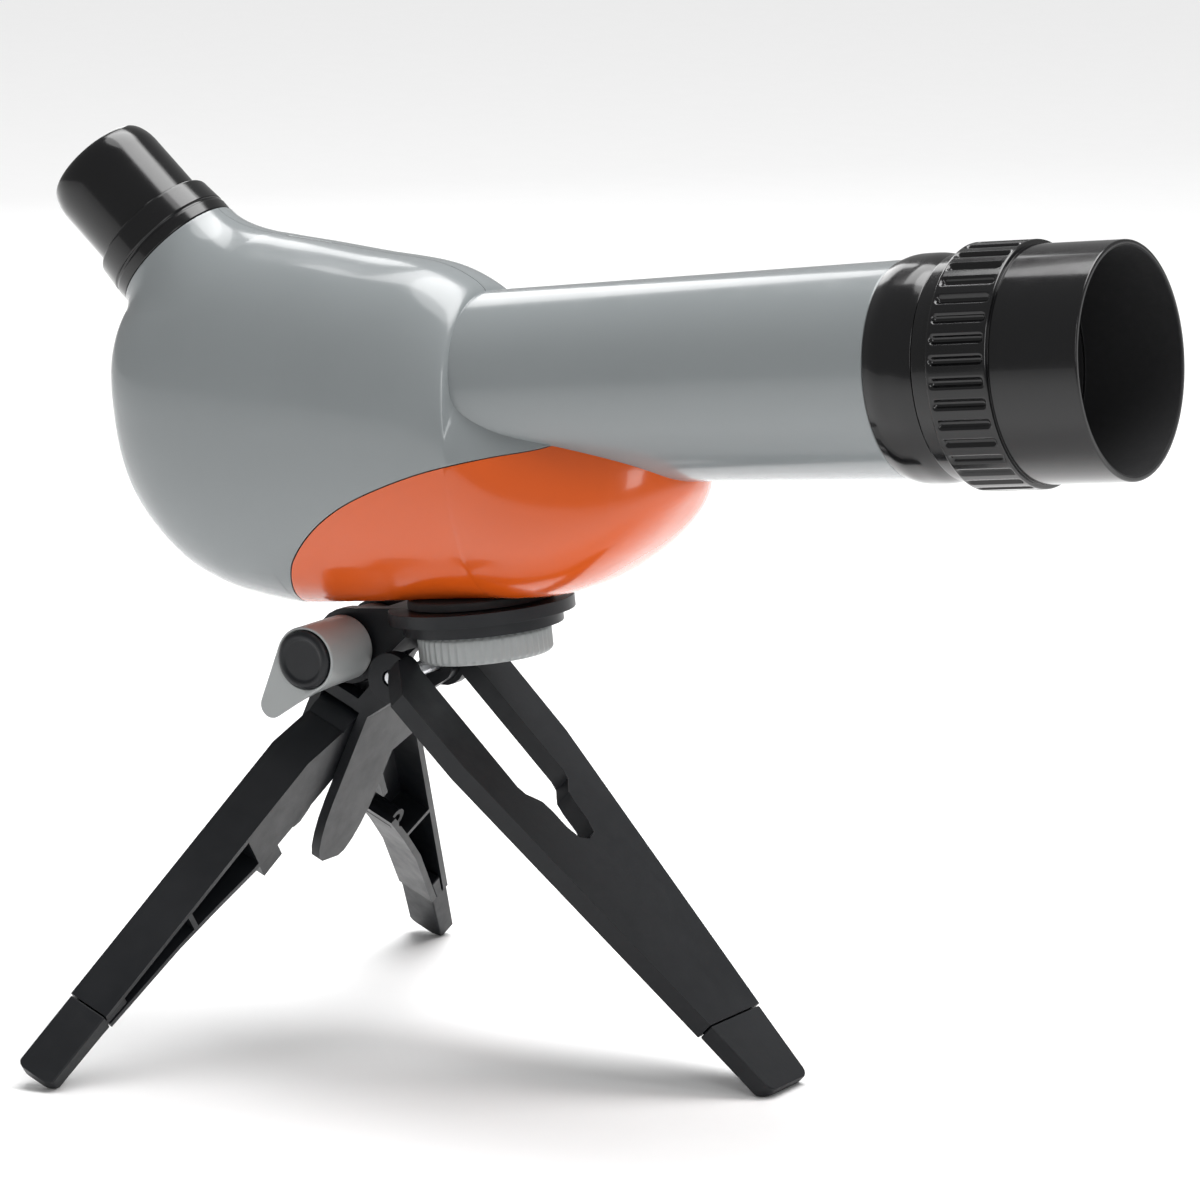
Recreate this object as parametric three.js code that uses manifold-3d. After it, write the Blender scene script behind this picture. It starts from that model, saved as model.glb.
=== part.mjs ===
// A small angled spotting telescope on a folding table tripod.
// Millimetres, +Z up, +X towards the objective. The origin is the middle of the box's floor.
import * as THREE from 'three';
import { mergeVertices } from 'three/addons/utils/BufferGeometryUtils.js';
import Module from 'manifold-3d';

const wasm = await Module();
wasm.setup();

// ---------------------------------------------------------------- driving dimensions
const GAP = 0.3; // between pieces that rest on each other
const RUN = 0.3; // radial clearance of a turning or sliding fit
const AROUND = 32; // sides of a large round piece
const AROUND_SMALL = 12; // sides of a pin or screw

const SPINE_LEAN = 24; // degrees that the spine leans back from upright
const HEAD_TILT = 6.8; // degrees that the telescope's nose is raised
const HINGE_HEIGHT = 109.5; // tilt hinge above the floor

const TONGUE_LENGTH = 63; // from the tilt hinge to the tongues' lower end
const TONGUE_HALF = 11.4; // half the tongues' width
const TONGUE_WALL = 2.8;
const TONGUE_END = 20; // length of the tongues' rounded lower end
const TONGUE_END_HALF = 4; // half the flat at its tip
const TONGUE_SKIN = 1.2; // left in front of the rear legs' pins
const REAR_TONGUE_BACK = -4.6; // the rear tongue's back face, ahead of the tilt hinge
const LEG_DEPTH = 12.4; // a rear leg, front to back
const HEAD_EAR_RADIUS = 10.5;
const SPINE_EAR_HALF = 5.5;
const SPINE_EAR_RADIUS = 9.5;
const HEAD_EAR_WALL = 4.2;
const BLOCK_TOP = 11.2; // below the tilt hinge
const BLOCK_HEIGHT = 3.4;
const CHEEK_WALL = 3.7; // the spine's two arms that hold the front leg's pin
const CHEEK_RADIUS = 5.4;

const REAR_PIVOT_DROP = 23; // rear leg pivots below the tilt hinge, along the spine
const REAR_PIVOT_HALF = 8; // half the distance between the rear leg pivots
const REAR_LEG_SPLAY = 41; // degrees
const REAR_FOOT_CUT = 1.74; // the floor takes this much off the foot's lowest corner
const REAR_FOOT_INNER = 6.4; // from the pivot line out to the foot's inner wall
const REAR_LEG_OUTER = 12.6; // from pivot to outer wall
const REAR_LEG_EYE = 7.4;
const REAR_LEG_SHOULDER = 17; // where the outer wall reaches its full width
const REAR_LEG_RIB = 1.6;
const RIGHT_LEG_BAYS = [44, 69]; // tops of the hollow bays, down the leg
const LEFT_LEG_BAYS = [13, 60];
const LATCH_FROM = 34; // the square latch block, down the leg
const LATCH_TO = 42;
const LATCH_REACH = 21; // from the pivot line
const LATCH_HALF = 2;
const CATCH_DOWN = 52; // the ring boss that the latch meets
const CATCH_RADIUS = 3.2;
const CATCH_BORE = 1.5;
const FOOT_LENGTH = 24;
const FOOT_STEP = 0.25; // the feet are this much slimmer than their legs
const FOOT_TONGUE = 8; // reach of a foot's tongue inside its leg
const REAR_FOOT_ROUND = 3;
const FRONT_FOOT_ROUND = 4;
const LEG_WALL = 2;

const FRONT_PIN_AHEAD = 17; // of the tilt hinge
const FRONT_PIN_BELOW = 6.2;
const FRONT_LEG_SLOPE = 43.6; // degrees below level
const FRONT_LEG_BAY = 70; // where the hollow below the fork begins
const FRONT_LEG_RIB_ABOVE = 30; // the cross rib, above the foot
const FRONT_LEG_RIB = 2;
const FRONT_FOOT_CUT = 1.67;
const FRONT_LEG_DEPTH = 5.5;
const FRONT_LEG_RISE = 7.2; // the leg's face above its pin
const FRONT_FORK_HALF = 12; // half the fork's clear width
const FRONT_EYE_RADIUS = 7;
const FRONT_EYE_WALL = 4;
const PIN_RADIUS = 2;

const SCREW_AHEAD = 38; // camera screw ahead of the tilt hinge
const PLATE_RADIUS = 25.5;
const PLATE_LOW = 6.4;
const PLATE_TOP = 9.9;
const BOSS_RADIUS = 22;
const BOSS_LOW = 3;
const PAD_RADIUS = 20;
const PAD_THICK = 2.3;
const WHEEL_RADIUS = 18.4;
const WHEEL_HEIGHT = 7.7;
const WHEEL_FLUTES = 24;
const WHEEL_FLUTE_DEPTH = 0.5;
const SCREW_HEAD_RADIUS = 5.5;
const SCREW_HEAD_HEIGHT = 2.8;
const CAMERA_SCREW_RADIUS = 3.1;
const CAMERA_SCREW_REACH = 6.5; // above the pad
const KNOB_RADIUS = 9;
const KNOB_LENGTH = 20.4;
const KNOB_TAIL = 17.6; // from the axis to the middle of the tail's round end
const KNOB_TAIL_RADIUS = 3.6;
const KNOB_TAIL_DROP = 52; // degrees below level, pointing back
const KNOB_CAP_RADIUS = 8;
const KNOB_CAP_HEIGHT = 3;
const KNOB_CAP_PROUD = 1.3;
const BOLT_RADIUS = 3;
const BOLT_HEAD_RADIUS = 5.6;
const BOLT_HEAD_HEIGHT = 4;
const BOLT_IN_KNOB = 12;
const WASHER_THICK = 1;
const WASHER_RADIUS = 7;

const AXIS_RISE = 68.4; // optical axis above the tilt hinge
const BODY_WALL = 2.2;
const BODY_FLOOR = AXIS_RISE - PLATE_TOP - GAP - PAD_THICK - GAP; // flat underside below the axis
const BELLY_BACK = -10.5; // the belly panel's rear end
const BODY_SCREWS = [[-46, -16], [-6, -34], [20, 26], [-8, 33]]; // [x, z] of the body's screws
const BODY_SCREW_RADIUS = 1.5;
const BODY_SCREW_HEAD = 2.6;
const BODY_BOSS_RADIUS = 3.4;
const NECK_BORE = 15.7;
const BUSH_RADIUS = 6;
const BUSH_LENGTH = 10;
const BUSH_FLANGE_RADIUS = 9;
const BUSH_FLANGE_THICK = 1.8;
const TUBE_BACK = 34;
const TUBE_LIP = 52;
const TUBE_FRONT = 178;
const TUBE_END = 186;
const TUBE_RADIUS_LIP = 26.1;
const TUBE_RADIUS_FRONT = 28.6;
const TUBE_SPIGOT_RADIUS = 26.8;
const TUBE_WALL = 1.8;
const COLLAR_FRONT = 192.6;
const COLLAR_RADIUS = 30;
const SLEEVE_RADIUS = 27.2;
const SLEEVE_WALL = 1.7;
const SLEEVE_FRONT = 211;
const HOOD_FRONT = 240.8;
const HOOD_RADIUS = 31;
const HOOD_WALL = 1.6;
const GRIP_BACK = 198.3;
const GRIP_FRONT = 215.8;
const GRIP_RADIUS = 32.2;
const GRIP_SLOTS = 36;
const GRIP_SLOT_DEPTH = 1.4;
const GRIP_SLOT_SHARE = 0.34; // of the pitch
const CELL_BACK = 197;
const CELL_LENGTH = 13.6;
const CELL_WALL = 1.3;
const LENS_SAG = 2.6;
const FOCUS_TRAVEL = 4; // of the objective, over the hood's whole turn
const FOCUS_PIN_AHEAD = 6.5; // of the cell's back
const FOCUS_PIN_RADIUS = 1.2;
const BAFFLE_REAR = 70;
const BAFFLE_REAR_OPENING = 13;
const BAFFLE_FRONT = 130;
const BAFFLE_FRONT_OPENING = 18;

const NECK_BACK = -48.2; // middle of the neck's end, from the tilt hinge
const NECK_RISE = 40; // above the optical axis
const NECK_SLOPE = 48.5; // degrees above level, pointing back
const NECK_RADIUS = 19.2;
const EYE_BASE_LENGTH = 11.5;
const EYE_CUP_RADIUS = 16.4;
const EYE_CUP_LENGTH = 25.2;
const EYE_BORE = 13.8;
const BARREL_WALL = 2.2;
const PRISM_HALF = 13;
const HOLDER_WALL = 1.6;

const BLACK = 0x17181a;
const GREY = 0x9aa3a5;
const SILVER = 0xb9bec0;
const ORANGE = 0xe8641b;

// ---------------------------------------------------------------- helpers
const rad = THREE.MathUtils.degToRad;
const V2 = (x, y) => new THREE.Vector2(x, y);

function plastic(colour, roughness) {
  return new THREE.MeshStandardMaterial({ color: colour, roughness, metalness: 0 });
}

function metal(colour, roughness) {
  return new THREE.MeshStandardMaterial({ color: colour, roughness, metalness: 1 });
}

function glass() {
  return new THREE.MeshStandardMaterial({ color: 0xd9e8ef, roughness: 0.05, metalness: 0 });
}

/** A closed manifold solid from a three.js geometry, with its faces pointing out. */
function solid(geometry) {
  geometry.deleteAttribute('normal');
  geometry.deleteAttribute('uv');
  const merged = mergeVertices(geometry, 1e-4);
  const vertProperties = new Float32Array(merged.attributes.position.array);
  const triVerts = new Uint32Array(merged.index.array);
  if (signedVolume(vertProperties, triVerts) < 0) {
    for (let i = 0; i < triVerts.length; i += 3) {
      [triVerts[i], triVerts[i + 1]] = [triVerts[i + 1], triVerts[i]];
    }
  }
  return new wasm.Manifold(new wasm.Mesh({ numProp: 3, vertProperties, triVerts }));
}

function signedVolume(position, index) {
  let sum = 0;
  const [a, b, c] = [new THREE.Vector3(), new THREE.Vector3(), new THREE.Vector3()];
  for (let i = 0; i < index.length; i += 3) {
    a.fromArray(position, index[i] * 3);
    b.fromArray(position, index[i + 1] * 3);
    c.fromArray(position, index[i + 2] * 3);
    sum += a.dot(b.cross(c));
  }
  return sum;
}

function geometryOf(body) {
  const mesh = body.getMesh();
  const geometry = new THREE.BufferGeometry();
  const position = new Float32Array(mesh.numVert * 3);
  for (let i = 0; i < mesh.numVert; i += 1) {
    for (let k = 0; k < 3; k += 1) {
      position[i * 3 + k] = mesh.vertProperties[i * mesh.numProp + k];
    }
  }
  geometry.setAttribute('position', new THREE.BufferAttribute(position, 3));
  geometry.setIndex(new THREE.BufferAttribute(new Uint32Array(mesh.triVerts), 1));
  geometry.computeVertexNormals();
  return geometry;
}

/** A named piece from a manifold solid. */
function piece(name, body, material) {
  const mesh = new THREE.Mesh(geometryOf(body), material);
  mesh.name = name;
  return mesh;
}

/** A solid turned about X from a closed [x, radius] profile. */
function turnedX(profile, around = AROUND) {
  const points = profile.map(([x, r]) => V2(Math.max(r, 0), x));
  const closed = profile[0][1] > 0 || profile[profile.length - 1][1] > 0;
  if (closed) points.push(points[0].clone());
  return solid(new THREE.LatheGeometry(points, around).rotateZ(-Math.PI / 2));
}

/** A solid turned about Z from a closed [z, radius] profile. */
function turnedZ(profile, around = AROUND) {
  const points = profile.map(([z, r]) => V2(Math.max(r, 0), z));
  const closed = profile[0][1] > 0 || profile[profile.length - 1][1] > 0;
  if (closed) points.push(points[0].clone());
  return solid(new THREE.LatheGeometry(points, around).rotateX(Math.PI / 2));
}

/** A solid cylinder from one end point to another along X, Y or Z. */
function rod(axis, from, to, radius, centre = [0, 0, 0], around = AROUND_SMALL) {
  const geometry = new THREE.CylinderGeometry(radius, radius, to - from, around);
  geometry.translate(0, (from + to) / 2, 0);
  if (axis === 'x') geometry.rotateZ(-Math.PI / 2);
  if (axis === 'z') geometry.rotateX(Math.PI / 2);
  geometry.translate(...centre);
  return solid(geometry);
}

function box(x0, x1, y0, y1, z0, z1) {
  const geometry = new THREE.BoxGeometry(x1 - x0, y1 - y0, z1 - z0);
  geometry.translate((x0 + x1) / 2, (y0 + y1) / 2, (z0 + z1) / 2);
  return solid(geometry);
}

/** An [x, z] outline carried along Y, from y0 to y1. */
function slabY(shape, y0, y1, curveSegments = 12) {
  const geometry = new THREE.ExtrudeGeometry(shape, {
    depth: y1 - y0, bevelEnabled: false, curveSegments,
  });
  geometry.rotateX(Math.PI / 2).translate(0, y1, 0);
  return solid(geometry);
}

/** A [y, z] outline carried along X, from x0 to x1. */
function slabX(shape, x0, x1, curveSegments = 12) {
  const geometry = new THREE.ExtrudeGeometry(shape, {
    depth: x1 - x0, bevelEnabled: false, curveSegments,
  });
  geometry.rotateZ(Math.PI / 2).rotateY(Math.PI / 2).translate(x0, 0, 0);
  return solid(geometry);
}

/** An [x, y] outline carried along Z, from z0 to z1. */
function slabZ(shape, z0, z1, curveSegments = 12) {
  const geometry = new THREE.ExtrudeGeometry(shape, {
    depth: z1 - z0, bevelEnabled: false, curveSegments,
  });
  geometry.translate(0, 0, z0);
  return solid(geometry);
}

function outline(points) {
  return new THREE.Shape(points.map(([x, y]) => V2(x, y)));
}

function moved(body, matrix) {
  return body.transform(matrix.elements);
}

function turned(body, axis, degrees) {
  const turn = { x: [1, 0, 0], y: [0, 1, 0], z: [0, 0, 1] }[axis];
  return moved(body, new THREE.Matrix4().makeRotationAxis(new THREE.Vector3(...turn), rad(degrees)));
}

function shifted(body, x, y, z) {
  return moved(body, new THREE.Matrix4().makeTranslation(x, y, z));
}

// ---------------------------------------------------------------- frames
const object = new THREE.Group();
const hinge = new THREE.Group(); // at the tilt hinge
hinge.position.z = HINGE_HEIGHT;
object.add(hinge);

const spineFrame = new THREE.Group(); // X ahead through the tongues, -Z down the spine
spineFrame.rotation.y = rad(SPINE_LEAN);
hinge.add(spineFrame);

const head = new THREE.Group();
head.rotation.y = rad(-HEAD_TILT);
hinge.add(head);

const scope = new THREE.Group(); // X along the optical axis
scope.position.z = AXIS_RISE;
head.add(scope);

const eye = new THREE.Group(); // +Z out of the eyepiece
eye.position.set(NECK_BACK, 0, NECK_RISE);
eye.rotation.y = rad(NECK_SLOPE - 90);
scope.add(eye);

const frontLegFrame = new THREE.Group(); // X down the leg, +Z out of its face
frontLegFrame.position.set(FRONT_PIN_AHEAD, 0, -FRONT_PIN_BELOW);
frontLegFrame.rotation.y = rad(FRONT_LEG_SLOPE);
hinge.add(frontLegFrame);

/** Cuts away what would reach below the floor. The frame's own place is used. */
function trimmedAtFloor(body, frame) {
  object.updateMatrixWorld(true);
  const reach = 400;
  const floor = box(-reach, reach, -reach, reach, -reach, 0);
  return body.subtract(moved(floor, frame.matrixWorld.clone().invert()));
}

// ---------------------------------------------------------------- spine
const gapBack = REAR_TONGUE_BACK + TONGUE_WALL;
const gapFront = gapBack + LEG_DEPTH + 2 * GAP;
const tongueFront = gapFront + TONGUE_WALL;
const frontPinPlace = new THREE.Vector3(FRONT_PIN_AHEAD, 0, -FRONT_PIN_BELOW)
  .applyAxisAngle(new THREE.Vector3(0, 1, 0), rad(-SPINE_LEAN));

function tongueShape() {
  const shape = new THREE.Shape();
  const straight = TONGUE_LENGTH - TONGUE_END;
  const end = TONGUE_END_HALF;
  shape.moveTo(-TONGUE_HALF, -BLOCK_TOP);
  shape.lineTo(-TONGUE_HALF, -straight);
  shape.bezierCurveTo(-TONGUE_HALF, -straight - 9, -end - 4, -TONGUE_LENGTH, -end, -TONGUE_LENGTH);
  shape.lineTo(end, -TONGUE_LENGTH);
  shape.bezierCurveTo(end + 4, -TONGUE_LENGTH, TONGUE_HALF, -straight - 9, TONGUE_HALF, -straight);
  shape.lineTo(TONGUE_HALF, -BLOCK_TOP);
  return shape;
}

function spineCheek(y0, y1) {
  const radius = CHEEK_RADIUS;
  const { x, z } = frontPinPlace;
  const low = -BLOCK_TOP - BLOCK_HEIGHT;
  const arm = slabY(outline([
    [9.5, low], [tongueFront, low], [x + radius * 0.92, z - radius * 0.4],
    [x, z + radius * 0.3], [x - radius * 0.92, z - radius * 0.35], [9.5, -BLOCK_TOP],
  ]), y0, y1);
  return arm.add(rod('y', y0, y1, radius, [x, 0, z], 20));
}

function buildSpine() {
  const low = -BLOCK_TOP - BLOCK_HEIGHT;
  let body = slabX(tongueShape(), REAR_TONGUE_BACK, gapBack, 5);
  body = body.add(slabX(tongueShape(), gapFront, tongueFront, 5));
  body = body.add(box(REAR_TONGUE_BACK, tongueFront, -TONGUE_HALF, TONGUE_HALF, low, -BLOCK_TOP));
  body = body.add(box(REAR_TONGUE_BACK, SPINE_EAR_RADIUS, -SPINE_EAR_HALF, SPINE_EAR_HALF, low, 0));
  body = body.add(rod('y', -SPINE_EAR_HALF, SPINE_EAR_HALF, SPINE_EAR_RADIUS, [0, 0, 0], 24));
  const cheekOut = FRONT_FORK_HALF - GAP;
  const cheekIn = cheekOut - CHEEK_WALL;
  body = body.add(spineCheek(cheekIn, cheekOut)).add(spineCheek(-cheekOut, -cheekIn));
  body = body.subtract(rod('y', -TONGUE_HALF, TONGUE_HALF, BOLT_RADIUS + RUN));
  const pinBore = rod('y', -TONGUE_HALF - 1, TONGUE_HALF + 1, PIN_RADIUS + RUN,
    frontPinPlace.toArray());
  body = body.subtract(pinBore);
  for (const side of [-1, 1]) {
    body = body.subtract(rod('x', REAR_TONGUE_BACK - 1, tongueFront - TONGUE_SKIN, PIN_RADIUS + RUN,
      [0, side * REAR_PIVOT_HALF, -REAR_PIVOT_DROP]));
  }
  return body;
}

spineFrame.add(piece('spine', buildSpine(), plastic(BLACK, 0.55)));

function rearLegPin(name, side) {
  const body = rod('x', REAR_TONGUE_BACK + GAP, tongueFront - TONGUE_SKIN - GAP, PIN_RADIUS);
  const mesh = piece(name, body, metal(SILVER, 0.35));
  mesh.position.set(0, side * REAR_PIVOT_HALF, -REAR_PIVOT_DROP);
  return mesh;
}
spineFrame.add(rearLegPin('rear_leg_pin_right', -1));
spineFrame.add(rearLegPin('rear_leg_pin_left', 1));

// ---------------------------------------------------------------- rear legs
// Each leg is drawn folded: -Z down the leg, its pivot at the origin, +Y towards the other leg.
// Right is -Y, as for someone who looks through the eyepiece.
const legBack = gapBack + GAP;
const legFront = gapFront - GAP;
const [lean, splay] = [rad(SPINE_LEAN), rad(REAR_LEG_SPLAY)];
const rearPivotHeight = HINGE_HEIGHT - REAR_PIVOT_DROP * Math.cos(lean);
const rearReach = rearPivotHeight + REAR_FOOT_INNER * Math.sin(splay) * Math.cos(lean)
  - legFront * Math.sin(lean) + REAR_FOOT_CUT;
const rearLegLength = rearReach / (Math.cos(splay) * Math.cos(lean));
const rearFootTop = rearLegLength - FOOT_LENGTH;

/** The inner wall's distance from the pivot line at a distance down the leg. */
function innerWall(down) {
  const points = [
    [0, REAR_LEG_EYE], [46, 5], [62, 1], [77, -2.2], [109, -5.7], [rearLegLength, -REAR_FOOT_INNER],
  ];
  let i = 0;
  while (i < points.length - 2 && down > points[i + 1][0]) i += 1;
  const [a, b] = [points[i], points[i + 1]];
  return a[1] + ((b[1] - a[1]) * (down - a[0])) / (b[0] - a[0]);
}

function rearLegBlank(inset, from, to) {
  const stops = [0, 15, 30, 46, 62, 77, 109, 120, rearLegLength].filter((s) => s > from && s < to);
  const shoulder = Math.max(from, REAR_LEG_SHOULDER);
  const points = [[-REAR_LEG_OUTER + inset, -to], [-REAR_LEG_OUTER + inset, -shoulder]];
  if (from <= 0) points.push([-REAR_LEG_EYE + inset, -3]);
  for (const stop of [from, ...stops, to]) points.push([innerWall(stop) - inset, -stop]);
  return outline(points);
}

function buildRearLeg(latch) {
  let body = slabX(rearLegBlank(0, 0, rearFootTop), legBack, legFront);
  body = body.add(rod('x', legBack, legFront, REAR_LEG_EYE, [0, 0, 0], 20));
  const pocketBack = legBack + LEG_WALL;
  const bays = latch ? RIGHT_LEG_BAYS : LEFT_LEG_BAYS;
  bays.forEach((top, i) => {
    const from = i === 0 ? top : top + REAR_LEG_RIB;
    const to = bays[i + 1] ?? rearFootTop + 1;
    body = body.subtract(slabX(rearLegBlank(LEG_WALL, from, to), pocketBack, legFront + 1));
  });
  const middle = (legBack + legFront) / 2;
  if (latch) {
    body = body.add(box(middle - LATCH_HALF, middle + LATCH_HALF,
      innerWall(LATCH_FROM) - LEG_WALL, LATCH_REACH, -LATCH_TO, -LATCH_FROM));
  } else {
    body = body.subtract(box(pocketBack, legFront + 1, 0, REAR_LEG_EYE + 1, -LATCH_TO - 5, -LATCH_FROM + 3));
    const place = [0, innerWall(CATCH_DOWN) - LEG_WALL - 1, -CATCH_DOWN];
    body = body.add(rod('x', legBack, legFront - LEG_WALL, CATCH_RADIUS, place));
    body = body.subtract(rod('x', middle, legFront + 1, CATCH_BORE, place));
  }
  return body.subtract(rod('x', legBack - 1, legFront + 1, PIN_RADIUS + RUN));
}

/** The tip: it rounds off at the floor and has a tongue inside the leg. */
function buildRearFoot() {
  const top = rearFootTop + GAP;
  const shape = rearLegBlank(FOOT_STEP, top, rearLegLength);
  let body = slabX(shape, legBack + FOOT_STEP, legFront - FOOT_STEP);
  const tongue = rearLegBlank(LEG_WALL + GAP, top - FOOT_TONGUE, top + LEG_WALL);
  body = body.add(slabX(tongue, legBack + LEG_WALL + GAP, legFront - FOOT_STEP));
  const [round, end] = [REAR_FOOT_ROUND, -rearLegLength];
  const fromSide = new THREE.Shape();
  fromSide.moveTo(legBack, 0);
  fromSide.lineTo(legBack, end + round);
  fromSide.quadraticCurveTo(legBack, end, legBack + round, end);
  fromSide.lineTo(legFront - round, end);
  fromSide.quadraticCurveTo(legFront, end, legFront, end + round);
  fromSide.lineTo(legFront, 0);
  return body.intersect(slabY(fromSide, -rearLegLength, rearLegLength, 5));
}

function rearLegGroup(side) {
  const frame = new THREE.Group();
  frame.position.set(0, side * REAR_PIVOT_HALF, -REAR_PIVOT_DROP);
  frame.rotation.x = rad(side * REAR_LEG_SPLAY);
  spineFrame.add(frame);
  const word = side < 0 ? 'right' : 'left';
  const face = (body) => (side < 0 ? body : body.mirror([0, 1, 0]));
  frame.add(piece(`rear_leg_${word}`, face(buildRearLeg(side < 0)), plastic(BLACK, 0.5)));
  const foot = trimmedAtFloor(face(buildRearFoot()), frame);
  frame.add(piece(`rear_foot_${word}`, foot, plastic(BLACK, 0.7)));
}
rearLegGroup(-1);
rearLegGroup(1);

// ---------------------------------------------------------------- front leg
const legFace = FRONT_LEG_RISE;
const legUnder = FRONT_LEG_RISE - FRONT_LEG_DEPTH;
const frontPinHeight = HINGE_HEIGHT - FRONT_PIN_BELOW;
const frontReach = frontPinHeight + legUnder * Math.cos(rad(FRONT_LEG_SLOPE)) + FRONT_FOOT_CUT;
const frontLegLength = frontReach / Math.sin(rad(FRONT_LEG_SLOPE));
const frontFootTop = frontLegLength - FOOT_LENGTH;

/** Half the front leg's width at a distance down the leg. */
function frontHalf(down) {
  const points = [[-1, 18], [9, 27.5], [35, 27], [85, 20], [132, 13.2], [frontLegLength, 10.9]];
  let i = 0;
  while (i < points.length - 2 && down > points[i + 1][0]) i += 1;
  const [a, b] = [points[i], points[i + 1]];
  return a[1] + ((b[1] - a[1]) * (down - a[0])) / (b[0] - a[0]);
}

function frontLegShape() {
  const stops = [-1, 9, 35, 85, frontFootTop];
  const shape = new THREE.Shape();
  const fork = FRONT_FORK_HALF;
  shape.moveTo(-1, -frontHalf(-1));
  stops.slice(1).forEach((s) => shape.lineTo(s, -frontHalf(s)));
  [...stops].reverse().forEach((s) => shape.lineTo(s, frontHalf(s)));
  shape.lineTo(-1, fork);
  shape.lineTo(46, fork);
  shape.bezierCurveTo(51, fork, 50, 6, 56, 6);
  shape.lineTo(62, 5.4);
  shape.bezierCurveTo(69.5, 5.4, 69.5, -5.4, 62, -5.4);
  shape.lineTo(56, -6);
  shape.bezierCurveTo(50, -6, 51, -fork, 46, -fork);
  shape.lineTo(-1, -fork);
  return shape;
}

function buildFrontLeg() {
  let body = slabZ(frontLegShape(), legUnder, legFace, 4);
  const wall = LEG_WALL;
  const roof = legFace - wall;
  for (const side of [-1, 1]) {
    const arm = outline([
      [10, side * (FRONT_FORK_HALF + wall)], [44, side * (FRONT_FORK_HALF + wall)],
      [54, side * 9.5], [66, side * 9.5], [66, side * (frontHalf(66) - wall)],
      [35, side * (frontHalf(35) - wall)], [10, side * (frontHalf(10) - wall)],
    ]);
    body = body.subtract(slabZ(arm, legUnder - 1, roof));
    const eyeIn = FRONT_FORK_HALF;
    const eyeOut = FRONT_FORK_HALF + FRONT_EYE_WALL;
    body = body.add(rod('y', Math.min(side * eyeIn, side * eyeOut),
      Math.max(side * eyeIn, side * eyeOut), FRONT_EYE_RADIUS, [0, 0, 0], 20));
  }
  const rib = frontFootTop - FRONT_LEG_RIB_ABOVE;
  const bays = [[FRONT_LEG_BAY, rib - FRONT_LEG_RIB], [rib, frontFootTop + 1]];
  for (const [from, to] of bays) {
    const bay = outline([
      [from, -frontHalf(from) + wall], [to, -frontHalf(to) + wall],
      [to, frontHalf(to) - wall], [from, frontHalf(from) - wall],
    ]);
    body = body.subtract(slabZ(bay, legUnder - 1, roof));
  }
  return body.subtract(rod('y', -30, 30, PIN_RADIUS + RUN));
}

function buildFrontFoot() {
  const step = FOOT_STEP;
  const top = frontFootTop + GAP;
  const end = frontLegLength;
  const round = FRONT_FOOT_ROUND;
  const inside = LEG_WALL + GAP;
  const shape = new THREE.Shape();
  shape.moveTo(top, -frontHalf(top) + step);
  shape.lineTo(end - round, -frontHalf(end) + step);
  shape.quadraticCurveTo(end, -frontHalf(end) + step, end, -frontHalf(end) + round);
  shape.lineTo(end, frontHalf(end) - round);
  shape.quadraticCurveTo(end, frontHalf(end) - step, end - round, frontHalf(end) - step);
  shape.lineTo(top, frontHalf(top) - step);
  const body = slabZ(shape, legUnder + step, legFace - step, 5);
  const [from, to] = [top - FOOT_TONGUE, top + LEG_WALL];
  return body.add(slabZ(outline([
    [from, -frontHalf(from) + inside], [to, -frontHalf(to) + inside],
    [to, frontHalf(to) - inside], [from, frontHalf(from) - inside],
  ]), legUnder + step, legFace - inside));
}

frontLegFrame.add(piece('front_leg', buildFrontLeg(), plastic(BLACK, 0.5)));
frontLegFrame.add(piece('front_foot', trimmedAtFloor(buildFrontFoot(), frontLegFrame), plastic(BLACK, 0.7)));
const frontPinHalf = FRONT_FORK_HALF + FRONT_EYE_WALL - GAP;
const frontPinBody = rod('y', -frontPinHalf, frontPinHalf, PIN_RADIUS);
const frontPin = piece('front_leg_pin', frontPinBody, metal(SILVER, 0.35));
frontPin.position.copy(frontLegFrame.position);
hinge.add(frontPin);

// ---------------------------------------------------------------- head
const headEarOut = SPINE_EAR_HALF + GAP + HEAD_EAR_WALL;

function buildHeadPlate() {
  const sides = 36;
  const centre = [SCREW_AHEAD, 0, 0];
  let body = rod('z', PLATE_LOW, PLATE_TOP, PLATE_RADIUS, centre, sides);
  body = body.add(rod('z', BOSS_LOW, PLATE_TOP, BOSS_RADIUS, centre, sides));
  const bridge = outline([
    [0, HEAD_EAR_RADIUS], [SCREW_AHEAD - 18, PLATE_TOP], [SCREW_AHEAD - 18, BOSS_LOW],
    [8.5, -HEAD_EAR_RADIUS * 0.55], [0, -HEAD_EAR_RADIUS],
  ]);
  body = body.add(slabY(bridge, -headEarOut, headEarOut));
  body = body.add(rod('y', -headEarOut, headEarOut, HEAD_EAR_RADIUS, [0, 0, 0], 24));
  const slot = SPINE_EAR_HALF + GAP;
  const slotFront = SPINE_EAR_RADIUS + 2.2;
  body = body.subtract(box(-20, slotFront, -slot, slot, -20, 20));
  body = body.subtract(rod('y', -20, 20, BOLT_RADIUS + RUN));
  return body.subtract(rod('z', -20, 20, CAMERA_SCREW_RADIUS + RUN, centre));
}

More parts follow.
